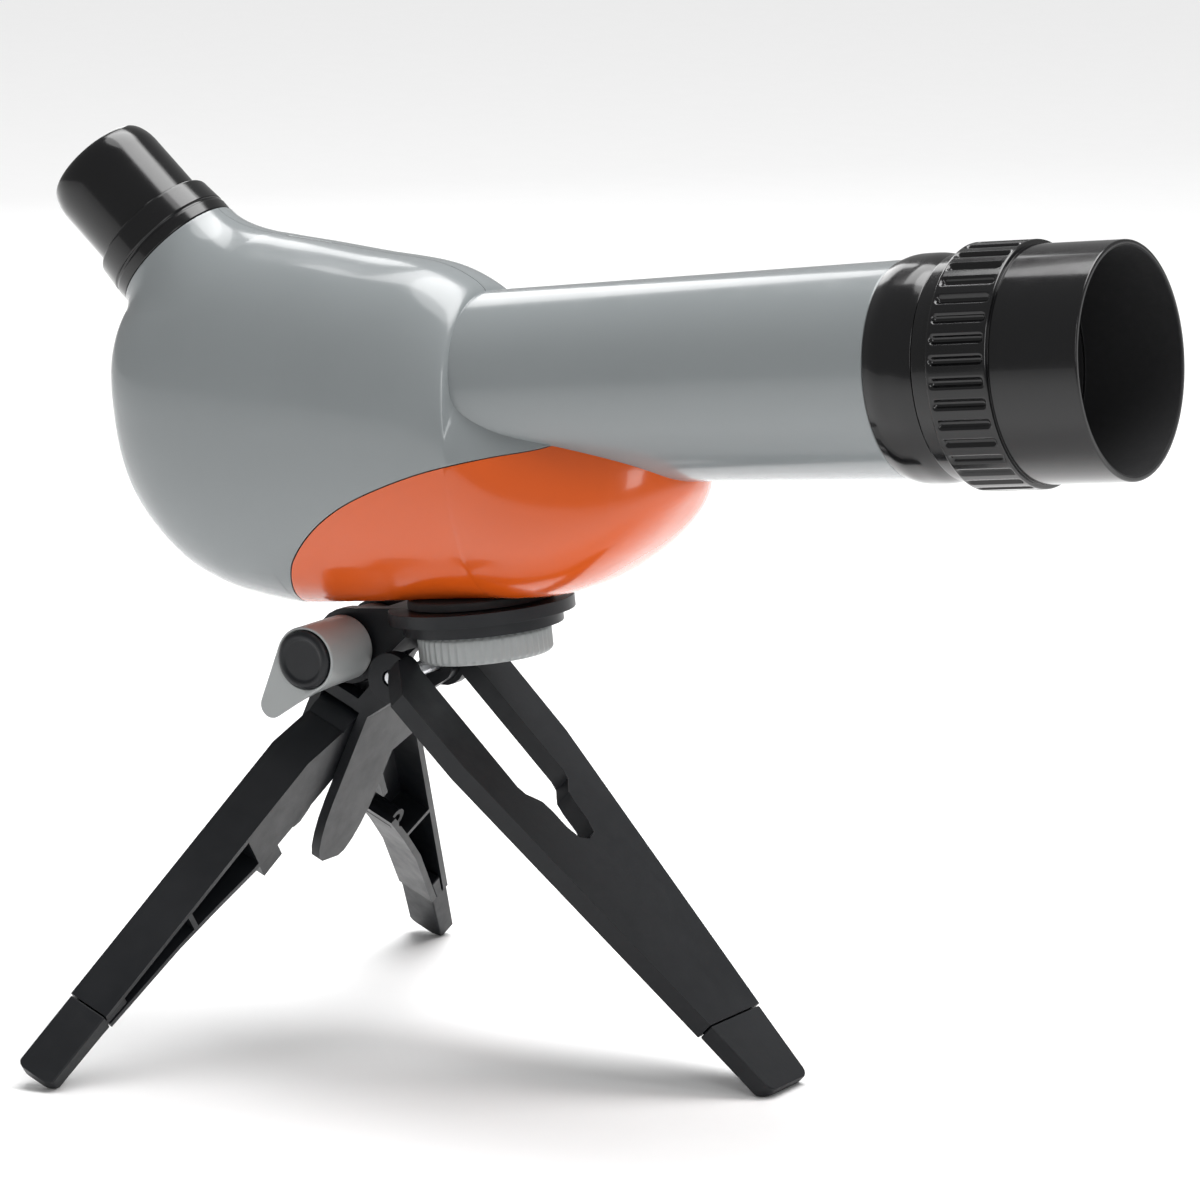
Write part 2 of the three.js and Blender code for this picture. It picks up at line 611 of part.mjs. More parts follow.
function buildThumbwheel() {
  const shape = new THREE.Shape();
  const steps = WHEEL_FLUTES * 4;
  for (let i = 0; i < steps; i += 1) {
    const angle = (i / steps) * 2 * Math.PI;
    const radius = WHEEL_RADIUS - (i % 4 < 2 ? 0 : WHEEL_FLUTE_DEPTH);
    const place = [SCREW_AHEAD + radius * Math.cos(angle), radius * Math.sin(angle)];
    if (i === 0) shape.moveTo(...place);
    else shape.lineTo(...place);
  }
  const top = BOSS_LOW - GAP;
  const low = top - WHEEL_HEIGHT;
  const centre = [SCREW_AHEAD, 0, 0];
  let body = slabZ(shape, low + 1, top - 1);
  body = body.add(rod('z', low, top, WHEEL_RADIUS - 1, centre, AROUND));
  body = body.subtract(rod('z', low - 1, top + 1, CAMERA_SCREW_RADIUS + RUN, centre));
  return body.subtract(rod('z', low - 1, low + SCREW_HEAD_HEIGHT + 2 * GAP,
    SCREW_HEAD_RADIUS + RUN, centre));
}

function buildCameraScrew() {
  const low = BOSS_LOW - GAP - WHEEL_HEIGHT;
  const top = PLATE_TOP + GAP + PAD_THICK + CAMERA_SCREW_REACH;
  const centre = [SCREW_AHEAD, 0, 0];
  return rod('z', low + GAP, low + GAP + SCREW_HEAD_HEIGHT, SCREW_HEAD_RADIUS, centre)
    .add(rod('z', low + GAP, top, CAMERA_SCREW_RADIUS, centre));
}

function buildPad() {
  const low = PLATE_TOP + GAP;
  const centre = [SCREW_AHEAD, 0, 0];
  return rod('z', low, low + PAD_THICK, PAD_RADIUS, centre, AROUND)
    .subtract(rod('z', low - 1, low + PAD_THICK + 1, CAMERA_SCREW_RADIUS + 1, centre));
}

head.add(piece('head_plate', buildHeadPlate(), plastic(BLACK, 0.45)));
head.add(piece('rubber_pad', buildPad(), plastic(BLACK, 0.9)));
head.add(piece('thumbwheel', buildThumbwheel(), plastic(SILVER, 0.5)));
head.add(piece('camera_screw', buildCameraScrew(), metal(SILVER, 0.3)));

// ---------------------------------------------------------------- tilt clamp
const knobInner = -(headEarOut + GAP + WASHER_THICK + GAP);
const knobOuter = knobInner - KNOB_LENGTH;
const capInside = KNOB_CAP_HEIGHT - KNOB_CAP_PROUD;

function knobShape() {
  const shape = new THREE.Shape();
  const spread = Math.asin((KNOB_RADIUS - KNOB_TAIL_RADIUS) / KNOB_TAIL);
  const tail = Math.PI + rad(KNOB_TAIL_DROP);
  const side = Math.PI / 2 - spread;
  const tip = [KNOB_TAIL * Math.cos(tail), KNOB_TAIL * Math.sin(tail)];
  shape.absarc(0, 0, KNOB_RADIUS, tail + side, tail - side + 2 * Math.PI, false);
  shape.absarc(tip[0], tip[1], KNOB_TAIL_RADIUS, tail - side, tail + side, false);
  return shape;
}

/** The knob: a teardrop at its outer end, which draws in to a plain barrel at its inner end. */
function knobForm() {
  const geometry = new THREE.ExtrudeGeometry(knobShape(), {
    depth: KNOB_LENGTH, bevelEnabled: false, curveSegments: 10,
  });
  const { position } = geometry.attributes;
  for (let i = 0; i < position.count; i += 1) {
    const [x, y, along] = [position.getX(i), position.getY(i), position.getZ(i)];
    const shrink = along < KNOB_LENGTH / 2 ? KNOB_RADIUS / Math.hypot(x, y) : 1;
    position.setXY(i, x * shrink, y * shrink);
  }
  geometry.rotateX(Math.PI / 2).translate(0, knobInner, 0);
  return solid(geometry);
}

function buildKnob() {
  return knobForm()
    .subtract(rod('y', knobOuter - 1, knobInner + 1, BOLT_RADIUS + RUN))
    .subtract(rod('y', knobOuter - 1, knobOuter + capInside + GAP, KNOB_CAP_RADIUS + GAP,
      [0, 0, 0], 20));
}

function buildTiltBolt() {
  const headIn = headEarOut + GAP;
  return rod('y', headIn, headIn + BOLT_HEAD_HEIGHT, BOLT_HEAD_RADIUS, [0, 0, 0], 6)
    .add(rod('y', knobInner - BOLT_IN_KNOB, headIn + 1, BOLT_RADIUS));
}

const washerOuter = -(headEarOut + GAP + WASHER_THICK);
const washer = rod('y', washerOuter, -(headEarOut + GAP), WASHER_RADIUS, [0, 0, 0], 20)
  .subtract(rod('y', -20, 20, BOLT_RADIUS + RUN));
const knobCap = rod('y', knobOuter - KNOB_CAP_PROUD, knobOuter + capInside, KNOB_CAP_RADIUS,
  [0, 0, 0], 20);
hinge.add(piece('tilt_bolt', buildTiltBolt(), metal(SILVER, 0.35)));
hinge.add(piece('tilt_washer', washer, metal(SILVER, 0.4)));
hinge.add(piece('tilt_knob', buildKnob(), plastic(SILVER, 0.45)));
hinge.add(piece('tilt_knob_cap', knobCap, plastic(BLACK, 0.5)));

// ---------------------------------------------------------------- telescope body
// Stations along the body: [x, top, bottom, half width, height of the widest line].
const keel = -BODY_FLOOR - 1.8;
const BODY_STATIONS = [
  [-64, 5, 5, 0, 5],
  [-63.6, 18, -8, 12, 5],
  [-62.2, 25, -19, 19, 4],
  [-58.5, 31, -30, 25, 2],
  [-51, 37, -40, 29.5, 0],
  [-41.6, 42, -48, 32, -2],
  [-27, 46, -54, 33.5, -4],
  [-6, 42.8, keel, 34, -6],
  [16, 38.4, keel, 34, -8],
  [36.4, 34.4, keel, 33, -11],
  [47.5, 28.8, keel, 31.8, -15],
  [50.5, 25.5, keel, 31.6, -17],
  [52, 11, keel, 31.6, -19],
  [57, 4.5, keel, 31.5, -23],
  [66, -1, keel + 0.6, 31, -28],
  [78, -4, -54, 29.5, -31],
  [88, -7, -49.2, 27, -31.5],
  [99, -11, -41.6, 21.5, -29.5],
  [105.6, -15, -34.8, 15, -27],
  [110, -22, -29, 5, -26],
  [111, -26, -26, 0, -26],
];

/** The body's smooth form: rounded-box sections carried through the stations. */
function bodyForm(inset, around) {
  const rows = BODY_STATIONS.length - 1;
  const first = BODY_STATIONS[0][0];
  const last = BODY_STATIONS[rows][0];
  const geometry = new THREE.SphereGeometry(1, around, rows);
  const { position, uv } = geometry.attributes;
  for (let i = 0; i < position.count; i += 1) {
    const row = Math.round((1 - uv.getY(i)) * rows);
    const [x, top, bottom, half, middle] = BODY_STATIONS[row];
    const angle = uv.getX(i) * 2 * Math.PI;
    const share = (x - first) / (last - first);
    const place = first + inset + share * (last - first - 2 * inset);
    const up = Math.cos(angle);
    const power = 2 / (up > 0 ? 2.15 : 2.6);
    const reach = Math.max((up > 0 ? top - middle : middle - bottom) - inset, 0);
    const wide = Math.max(half - inset, 0);
    const y = wide * Math.sign(Math.sin(angle)) * Math.abs(Math.sin(angle)) ** power;
    const z = middle + reach * Math.sign(up) * Math.abs(up) ** power;
    position.setXYZ(i, place, row === 0 || row === rows ? 0 : y, row === 0 || row === rows ? middle : z);
  }
  return solid(geometry);
}

/** A body lying along the eyepiece's axis, from [along, radius] pairs. */
function alongEye(profile, around = AROUND) {
  const body = turned(turnedZ(profile, around), 'y', NECK_SLOPE - 90);
  return shifted(body, NECK_BACK, 0, NECK_RISE);
}

function tubeRadius(x) {
  const slope = (TUBE_RADIUS_FRONT - TUBE_RADIUS_LIP) / (TUBE_FRONT - TUBE_LIP);
  return TUBE_RADIUS_LIP + slope * (x - TUBE_LIP);
}

/** The belly panel's side view, grown by a margin: a rising curve, closed below the keel. */
function bellyShape(margin) {
  const edge = new THREE.SplineCurve([
    V2(-8.5, -52), V2(-2.4, -41.7), V2(14, -29), V2(28.6, -23), V2(46.6, -18.2),
    V2(63.7, -15.6), V2(76, -14.4), V2(88, -11.5), V2(100, -9), V2(114, -8),
  ]);
  const points = edge.getPoints(14);
  const shape = new THREE.Shape();
  shape.moveTo(BELLY_BACK - margin, keel - 6);
  points.forEach((p, i) => {
    const ahead = points[Math.min(i + 1, points.length - 1)];
    const behind = points[Math.max(i - 1, 0)];
    const along = ahead.clone().sub(behind).normalize();
    shape.lineTo(p.x - along.y * margin, p.y + along.x * margin);
  });
  shape.lineTo(120, keel - 6);
  return shape;
}

function buildBodyShell() {
  let outer = bodyForm(0, 24);
  outer = outer.add(alongEye([[-18, 0], [-18, 24], [-12, 22.4], [-6, 20.4], [-GAP, NECK_RADIUS], [-GAP, 0]]));
  outer = outer.subtract(box(-100, 150, -60, 60, -120, -BODY_FLOOR));
  let inner = bodyForm(BODY_WALL, 14);
  const floorInside = -BODY_FLOOR + BODY_WALL;
  inner = inner.subtract(box(-100, 150, -60, 60, -120, floorInside));
  inner = inner.add(alongEye([[-30, 0], [-30, NECK_BORE], [1, NECK_BORE], [1, 0]]));
  inner = inner.add(turnedX([
    [TUBE_BACK - 3, 0], [TUBE_BACK - 3, tubeRadius(TUBE_BACK) + RUN],
    [TUBE_FRONT, tubeRadius(TUBE_FRONT) + RUN], [TUBE_FRONT, 0],
  ]));
  inner = inner.add(rod('z', floorInside, floorInside + BUSH_FLANGE_THICK + 2 * GAP,
    BUSH_FLANGE_RADIUS + GAP, [SCREW_AHEAD, 0, 0], 28));
  return { outer, shell: outer.subtract(inner) };
}

const bodyShell = buildBodyShell();

function buildBellyPanel() {
  const panel = bodyShell.shell.intersect(slabY(bellyShape(0), -60, 60));
  const bore = rod('z', -BODY_FLOOR - 5, 0, BUSH_RADIUS + RUN, [SCREW_AHEAD, 0, 0], 28);
  return panel.subtract(bore);
}

function buildBodyHalf(side) {
  let body = bodyShell.shell.subtract(slabY(bellyShape(GAP), -60, 60));
  for (const [x, z] of BODY_SCREWS) {
    const boss = rod('y', -60, 60, BODY_BOSS_RADIUS, [x, 0, z]);
    body = body.add(boss.intersect(bodyShell.outer));
  }
  const keep = side < 0 ? box(-100, 150, -60, -GAP / 2, -80, 80) : box(-100, 150, GAP / 2, 60, -80, 80);
  body = body.intersect(keep);
  for (const [x, z] of BODY_SCREWS) {
    body = body.subtract(rod('y', side < 0 ? -12 : -1, 60, BODY_SCREW_RADIUS + RUN, [x, 0, z]));
    if (side > 0) body = body.subtract(rod('y', 16, 60, BODY_SCREW_HEAD + RUN, [x, 0, z]));
  }
  return body;
}

function buildBodyScrew([x, z]) {
  return rod('y', -10.5, 17, BODY_SCREW_RADIUS, [x, 0, z], 14)
    .add(rod('y', 16 + GAP, 18.6, BODY_SCREW_HEAD, [x, 0, z], 14));
}

scope.add(piece('body_right', buildBodyHalf(-1), plastic(GREY, 0.25)));
scope.add(piece('body_left', buildBodyHalf(1), plastic(GREY, 0.25)));
scope.add(piece('belly_panel', buildBellyPanel(), plastic(ORANGE, 0.25)));
BODY_SCREWS.forEach((place, i) => {
  scope.add(piece(`body_screw_${i + 1}`, buildBodyScrew(place), metal(SILVER, 0.4)));
});

function buildBush() {
  const low = -BODY_FLOOR + GAP;
  const flange = -BODY_FLOOR + BODY_WALL + GAP;
  const centre = [SCREW_AHEAD, 0, 0];
  return rod('z', low, low + BUSH_LENGTH, BUSH_RADIUS, centre)
    .add(rod('z', flange, flange + BUSH_FLANGE_THICK, BUSH_FLANGE_RADIUS, centre, 28))
    .subtract(rod('z', low - 1, low + BUSH_LENGTH - 1.5, CAMERA_SCREW_RADIUS + RUN, centre));
}
scope.add(piece('tripod_bush', buildBush(), metal(0xc8a048, 0.35)));

// ---------------------------------------------------------------- tube and objective
function buildTube() {
  const inside = TUBE_SPIGOT_RADIUS - TUBE_WALL;
  const spigot = TUBE_RADIUS_LIP - 0.5;
  return turnedX([
    [TUBE_BACK, spigot], [TUBE_LIP, TUBE_RADIUS_LIP], [TUBE_FRONT, TUBE_RADIUS_FRONT],
    [TUBE_FRONT, TUBE_SPIGOT_RADIUS], [TUBE_END, TUBE_SPIGOT_RADIUS], [TUBE_END, inside],
    [TUBE_BACK, spigot - TUBE_WALL],
  ]);
}

const focusPinPlace = CELL_BACK + FOCUS_PIN_AHEAD;

function buildCollar() {
  const bore = TUBE_SPIGOT_RADIUS + RUN;
  const back = TUBE_FRONT + GAP;
  const seat = TUBE_END + GAP;
  const inside = SLEEVE_RADIUS - SLEEVE_WALL;
  const body = turnedX([
    [back, bore], [back, COLLAR_RADIUS - 1.1], [back + 4, COLLAR_RADIUS],
    [COLLAR_FRONT - 4, COLLAR_RADIUS],
    [COLLAR_FRONT, COLLAR_RADIUS - 1], [COLLAR_FRONT, SLEEVE_RADIUS],
    [SLEEVE_FRONT, SLEEVE_RADIUS], [SLEEVE_FRONT, inside], [seat, inside], [seat, bore],
  ]);
  const slotHalf = FOCUS_TRAVEL / 2 + FOCUS_PIN_RADIUS + 2 * RUN;
  const across = FOCUS_PIN_RADIUS + RUN;
  return body.subtract(box(focusPinPlace - slotHalf, focusPinPlace + slotHalf, -across, across,
    inside - 1, SLEEVE_RADIUS + 1));
}

const HOOD_BACK = COLLAR_FRONT + GAP;
const HOOD_STEP = SLEEVE_FRONT + 2;

function buildHood() {
  const bore = SLEEVE_RADIUS + RUN;
  const grooveHalf = FOCUS_TRAVEL / 2 + FOCUS_PIN_RADIUS + 2 * RUN;
  const groove = [focusPinPlace - grooveHalf, focusPinPlace + grooveHalf, bore + 1.2];
  let body = turnedX([
    [HOOD_BACK, bore], [HOOD_BACK, COLLAR_RADIUS - 0.4], [GRIP_BACK, COLLAR_RADIUS],
    [GRIP_BACK, GRIP_RADIUS], [GRIP_FRONT, GRIP_RADIUS], [GRIP_FRONT, HOOD_RADIUS],
    [HOOD_FRONT, HOOD_RADIUS], [HOOD_FRONT, HOOD_RADIUS - HOOD_WALL],
    [HOOD_STEP, HOOD_RADIUS - HOOD_WALL - 0.4], [HOOD_STEP, bore],
    [groove[1], bore], [groove[1], groove[2]], [groove[0], groove[2]], [groove[0], bore],
  ], GRIP_SLOTS);
  const width = ((2 * Math.PI * GRIP_RADIUS) / GRIP_SLOTS) * GRIP_SLOT_SHARE;
  const slot = box(GRIP_BACK + 1.2, GRIP_FRONT - 1.2, -width / 2, width / 2,
    GRIP_RADIUS - GRIP_SLOT_DEPTH, GRIP_RADIUS + 1);
  for (let i = 0; i < GRIP_SLOTS; i += 1) {
    body = body.subtract(turned(slot, 'x', (i * 360) / GRIP_SLOTS));
  }
  return body;
}

const cellRadius = SLEEVE_RADIUS - SLEEVE_WALL - RUN;
const cellFront = CELL_BACK + CELL_LENGTH;
const lensRadius = cellRadius - CELL_WALL - RUN;
const lensSeat = CELL_BACK + 4;

function buildCell() {
  return turnedX([
    [CELL_BACK, cellRadius], [cellFront, cellRadius], [cellFront, cellRadius - CELL_WALL],
    [lensSeat, cellRadius - CELL_WALL], [lensSeat, lensRadius - 2], [CELL_BACK, lensRadius - 2],
  ]);
}

/** A lens turned about X. Each face is given by its place on the axis and at the edge. */
function lens(backMiddle, backEdge, frontMiddle, frontEdge, radius, around = 24) {
  const steps = 3;
  const profile = [];
  for (let i = 0; i <= steps; i += 1) {
    const share = i / steps;
    profile.push([backMiddle + (backEdge - backMiddle) * share ** 2, radius * share]);
  }
  for (let i = steps; i >= 0; i -= 1) {
    const share = i / steps;
    profile.push([frontMiddle + (frontEdge - frontMiddle) * share ** 2, radius * share]);
  }
  return turnedX(profile, around);
}

const flintBack = lensSeat + GAP;
const flintFront = flintBack + 1.6 + LENS_SAG;
const crownFront = flintFront + GAP + 2;
const cellPin = rod('z', cellRadius + GAP, SLEEVE_RADIUS + RUN + 0.9, FOCUS_PIN_RADIUS,
  [focusPinPlace, 0, 0], 12);
const retainerBack = crownFront + GAP + 0.6;
const retainer = turnedX([
  [retainerBack, lensRadius], [cellFront, lensRadius], [cellFront, lensRadius - 1.8],
  [retainerBack, lensRadius - 1.8],
]);

scope.add(piece('main_tube', buildTube(), plastic(GREY, 0.25)));
scope.add(piece('objective_collar', buildCollar(), plastic(BLACK, 0.3)));
scope.add(piece('focus_hood', buildHood(), plastic(BLACK, 0.3)));
scope.add(piece('objective_cell', buildCell(), plastic(BLACK, 0.6)));
scope.add(piece('objective_flint', lens(flintBack + 0.5, flintBack, flintFront - LENS_SAG, flintFront,
  lensRadius), glass()));
scope.add(piece('objective_crown', lens(flintFront - LENS_SAG + GAP, flintFront + GAP,
  crownFront + LENS_SAG, crownFront, lensRadius), glass()));
scope.add(piece('lens_retainer', retainer, plastic(BLACK, 0.5)));
scope.add(piece('focus_pin', cellPin, metal(SILVER, 0.3)));

function buildBaffle(x, opening) {
  const radius = TUBE_RADIUS_LIP - TUBE_WALL - 0.5 - RUN;
  return turnedX([
    [x, radius], [x + 6, radius], [x + 6, radius - 1], [x + 1.2, radius - 1], [x + 1.2, opening],
    [x, opening],
  ], 24);
}
const baffleRear = buildBaffle(BAFFLE_REAR, BAFFLE_REAR_OPENING);
const baffleFront = buildBaffle(BAFFLE_FRONT, BAFFLE_FRONT_OPENING);
scope.add(piece('light_baffle_rear', baffleRear, plastic(BLACK, 0.8)));
scope.add(piece('light_baffle_front', baffleFront, plastic(BLACK, 0.8)));

// ---------------------------------------------------------------- prism
const turnPoint = NECK_BACK + NECK_RISE / Math.tan(rad(NECK_SLOPE)); // where the two axes meet

/** A roof prism's side view: a front face square to the tube, a top face square to the eyepiece. */
const PRISM_OUTLINE = [[12, -15], [12, 13], [-1, 22], [-20, 5], [-8, -15]];

function buildPrism() {
  const shape = outline(PRISM_OUTLINE.map(([x, z]) => [turnPoint + x, z]));
  return slabY(shape, -PRISM_HALF, PRISM_HALF);
}

function buildPrismHolder() {
  const plate = HOLDER_WALL;
  const side = PRISM_HALF + GAP;
  const wide = outline([
    [turnPoint + 16, -19], [turnPoint + 16, 10], [turnPoint - 14, 10], [turnPoint - 14, -19],
  ]);
  let body = slabY(wide, -side - plate, side + plate);
  const grown = outline([
    [turnPoint + 12 + GAP, -15 - GAP], [turnPoint + 12 + GAP, 30], [turnPoint - 30, 30],
    [turnPoint - 30, -15 - GAP],
  ]);
  body = body.subtract(slabY(grown, -side, side));
  return body.subtract(rod('x', turnPoint, turnPoint + 30, 11, [0, 0, 0], 28));
}
scope.add(piece('prism', buildPrism(), glass()));
scope.add(piece('prism_holder', buildPrismHolder(), plastic(BLACK, 0.7)));

// ---------------------------------------------------------------- eyepiece
function buildEyeBase() {
  const spigot = NECK_BORE - RUN;
  return turnedZ([
    [-9, spigot], [0, spigot], [0, NECK_RADIUS - 0.5], [0.6, NECK_RADIUS],
    [EYE_BASE_LENGTH - 0.8, NECK_RADIUS - 0.5], [EYE_BASE_LENGTH, NECK_RADIUS - 1.2],
    [EYE_BASE_LENGTH, EYE_BORE], [-9, EYE_BORE],
  ]);
}

const barrelRadius = EYE_BORE - RUN;
const barrelTop = EYE_BASE_LENGTH + EYE_CUP_LENGTH - 8;

function buildEyeCup() {
  const low = EYE_BASE_LENGTH + GAP;
  const top = EYE_BASE_LENGTH + EYE_CUP_LENGTH;
  const round = 4;
  const profile = [[low, EYE_BORE], [low, EYE_CUP_RADIUS]];
  for (let i = 0; i <= 4; i += 1) {
    const angle = (i / 4) * (Math.PI / 2);
    profile.push([top - round + round * Math.sin(angle),
      EYE_CUP_RADIUS - round * 0.45 * (1 - Math.cos(angle))]);
  }
  const cupSeat = barrelTop + 1;
  profile.push([top, EYE_CUP_RADIUS - 4], [top - 5, 11], [cupSeat, 11], [cupSeat, EYE_BORE]);
  return turnedZ(profile, 24);
}

function buildBarrel() {
  const inside = barrelRadius - BARREL_WALL;
  return turnedZ([
    [-14, barrelRadius], [barrelTop, barrelRadius], [barrelTop, 9.5], [barrelTop - 1.2, 9.5],
    [barrelTop - 1.2, inside], [-14, inside],
  ]);
}

function eyeLens(back, thick, sag) {
  const radius = barrelRadius - BARREL_WALL - RUN;
  const body = lens(back, back + sag * 0.4, back + thick, back + thick - sag, radius, 20);
  return turned(body, 'y', -90);
}

eye.add(piece('eyepiece_base', buildEyeBase(), plastic(BLACK, 0.35)));
eye.add(piece('eye_cup', buildEyeCup(), plastic(BLACK, 0.3)));
eye.add(piece('eyepiece_barrel', buildBarrel(), plastic(BLACK, 0.5)));
eye.add(piece('eye_lens', eyeLens(barrelTop - 7, 5.4, 1.6), glass()));
eye.add(piece('field_lens', eyeLens(-9, 4.5, 1.5), glass()));

// ---------------------------------------------------------------- place the origin
object.updateMatrixWorld(true);
const bounds = new THREE.Box3().setFromObject(object, true);
hinge.position.x = -(bounds.min.x + bounds.max.x) / 2;
hinge.position.y = -(bounds.min.y + bounds.max.y) / 2;

export default object;
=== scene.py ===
from math import cos, pi, radians, sin

import bmesh
import bpy
import numpy as np
from bpy.props import FloatProperty, FloatVectorProperty, IntProperty, PointerProperty
from mathutils import Matrix, Vector


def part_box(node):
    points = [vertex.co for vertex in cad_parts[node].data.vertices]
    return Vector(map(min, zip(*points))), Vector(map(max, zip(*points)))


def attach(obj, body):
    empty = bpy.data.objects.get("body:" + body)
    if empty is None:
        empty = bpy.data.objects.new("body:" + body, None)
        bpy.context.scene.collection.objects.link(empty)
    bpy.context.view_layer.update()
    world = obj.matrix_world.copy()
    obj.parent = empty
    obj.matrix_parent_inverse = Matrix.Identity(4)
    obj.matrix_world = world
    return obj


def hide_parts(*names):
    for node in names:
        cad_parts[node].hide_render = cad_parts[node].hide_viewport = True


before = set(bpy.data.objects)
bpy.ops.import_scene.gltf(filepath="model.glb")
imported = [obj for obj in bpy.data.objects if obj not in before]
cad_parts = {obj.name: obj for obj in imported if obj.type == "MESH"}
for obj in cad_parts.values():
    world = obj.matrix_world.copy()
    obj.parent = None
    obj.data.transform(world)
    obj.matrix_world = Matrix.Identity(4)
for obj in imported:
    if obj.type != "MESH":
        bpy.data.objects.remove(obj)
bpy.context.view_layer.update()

bl_info = {
    "name": "Spotting telescope on a table tripod",
    "version": (1, 0, 0),
    "blender": (4, 5, 0),
    "location": "3D View > Sidebar > Telescope",
    "description": "Draws an angled spotting telescope with a focusing hood on a folding table tripod",
    "category": "Object",
}

MM = 0.001

# ---------------------------------------------------------------- places
# Shapes below are in millimetres, in the frame of the part they belong to.
WASHER_LOW, WASHER_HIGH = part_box("tilt_washer")
HINGE = Vector(((WASHER_LOW[0] + WASHER_HIGH[0]) / 2, 0, (WASHER_LOW[2] + WASHER_HIGH[2]) / 2))
HEAD_TILT = radians(6.8)
SCREW_AHEAD = 38
AXIS_RISE = 68.4
EYE_SLOPE = radians(48.5)
EYE_BACK, EYE_RISE = -48.2, 40.0  # middle of the neck's end, along and above the telescope's axis

CLAMP = Matrix.Translation(HINGE)  # Y along the tilt bolt
HEAD = CLAMP @ Matrix.Rotation(-HEAD_TILT, 4, "Y")
SCREW = HEAD @ Matrix.Translation((SCREW_AHEAD * MM, 0, 0))  # Z along the camera screw
SCOPE = HEAD @ Matrix.Translation((0, 0, AXIS_RISE * MM))  # X along the telescope's axis
BARREL = SCOPE @ Matrix.Rotation(pi / 2, 4, "Y")  # Z along the telescope's axis
NECK_END = SCOPE @ Matrix.Translation((EYE_BACK * MM, 0, EYE_RISE * MM))
EYE = NECK_END @ Matrix.Rotation(EYE_SLOPE - pi / 2, 4, "Y")
BOLT = CLAMP @ Matrix.Rotation(-pi / 2, 4, "X")  # Z along the tilt bolt


def placed(points, place):
    """Millimetres in a part's frame become metres in the object's frame: turn, then shift."""
    turn = np.array(place.to_3x3())
    return (np.asarray(points, float) * MM) @ turn.T + np.array(place.translation)


# ---------------------------------------------------------------- surfaces
def rounded(corners, steps=5):
    """A closed profile of (along, radius, rounding) corners. Each corner B becomes the quadratic arc
    (1-t)^2 A + 2t(1-t) B + t^2 C, where A and C lie at the rounding along its two sides."""
    data = np.array(corners, float)
    place, cut = data[:, :2], data[:, 2:3]
    before = np.roll(place, 1, 0) - place
    after = np.roll(place, -1, 0) - place
    before_length = np.maximum(np.linalg.norm(before, axis=1, keepdims=True), 1e-9)
    after_length = np.maximum(np.linalg.norm(after, axis=1, keepdims=True), 1e-9)
    start = place + before * np.minimum(cut / before_length, 0.48)
    end = place + after * np.minimum(cut / after_length, 0.48)
    t = np.linspace(0, 1, steps)[None, :, None]
    arc = (1 - t) ** 2 * start[:, None] + 2 * t * (1 - t) * place[:, None] + t**2 * end[:, None]
    return arc.reshape(-1, 2)


def denser(profile, step, low, high):
    """The closed profile with an extra point at every step of its length where its radius is low to high."""
    ring = np.vstack([profile, profile[:1]])
    run = np.concatenate([[0], np.cumsum(np.linalg.norm(np.diff(ring, axis=0), axis=1))])
    extra = np.arange(0, run[-1], step)
    radius = np.interp(extra, run, ring[:, 1])
    extra = extra[(radius >= low) & (radius <= high)]
    at = np.unique(np.concatenate([run[:-1], extra]).round(4))
    return np.stack([np.interp(at, run, ring[:, 0]), np.interp(at, run, ring[:, 1])], -1)


def turned(profile, place, around=128, shape=None):
    """A surface of revolution: (r cos a, r sin a, z) for each (z, r) of the profile and each angle a.
    shape(z, r, a) may return a changed r, for ribs and flutes."""
    angle = (np.arange(around) * 2 * pi / around)[None, :]
    along = profile[:, 0, None] + 0 * angle
    radius = profile[:, 1, None] + 0 * angle
    if shape is not None:
        radius = shape(along, radius, angle)
    grid = np.stack([radius * np.cos(angle), radius * np.sin(angle), along], -1)
    return placed(grid, place)


def smooth(value, low, high):
    """0 below low, 1 above high, and 3s^2 - 2s^3 between."""
    share = np.clip((value - low) / (high - low), 0, 1)
    return share * share * (3 - 2 * share)


def monotone(at, place, value):
    """Cubic Hermite curves through (place, value) whose slopes are the harmonic means of the two
    neighbouring slopes, and zero where those differ in sign, so the curve never overshoots."""
    step = np.diff(place)
    slope = np.diff(value, axis=0) / step[:, None]
    product = slope[:-1] * slope[1:]
    total = np.where(np.abs(slope[:-1] + slope[1:]) < 1e-12, 1, slope[:-1] + slope[1:])
    inner = np.where(product > 0, 2 * product / total, 0)
    tangent = np.vstack([slope[:1], inner, slope[-1:]])
    i = np.clip(np.searchsorted(place, at, side="right") - 1, 0, len(place) - 2)
    t = ((at - place[i]) / step[i])[:, None]
    width = step[i][:, None]
    return (
        (2 * t**3 - 3 * t**2 + 1) * value[i]
        + (t**3 - 2 * t**2 + t) * width * tangent[i]
        + (3 * t**2 - 2 * t**3) * value[i + 1]
        + (t**3 - t**2) * width * tangent[i + 1]
    )


def quads(rows, columns, wrap_rows, wrap_columns):
    """The four corners of each cell of a grid of points."""
    i = np.arange(rows if wrap_rows else rows - 1)[:, None]
    j = np.arange(columns if wrap_columns else columns - 1)[None, :]
    i2, j2 = (i + 1) % rows, (j + 1) % columns
    cells = [i * columns + j, i * columns + j2, i2 * columns + j2, i2 * columns + j]
    return np.stack(cells, -1).reshape(-1, 4)


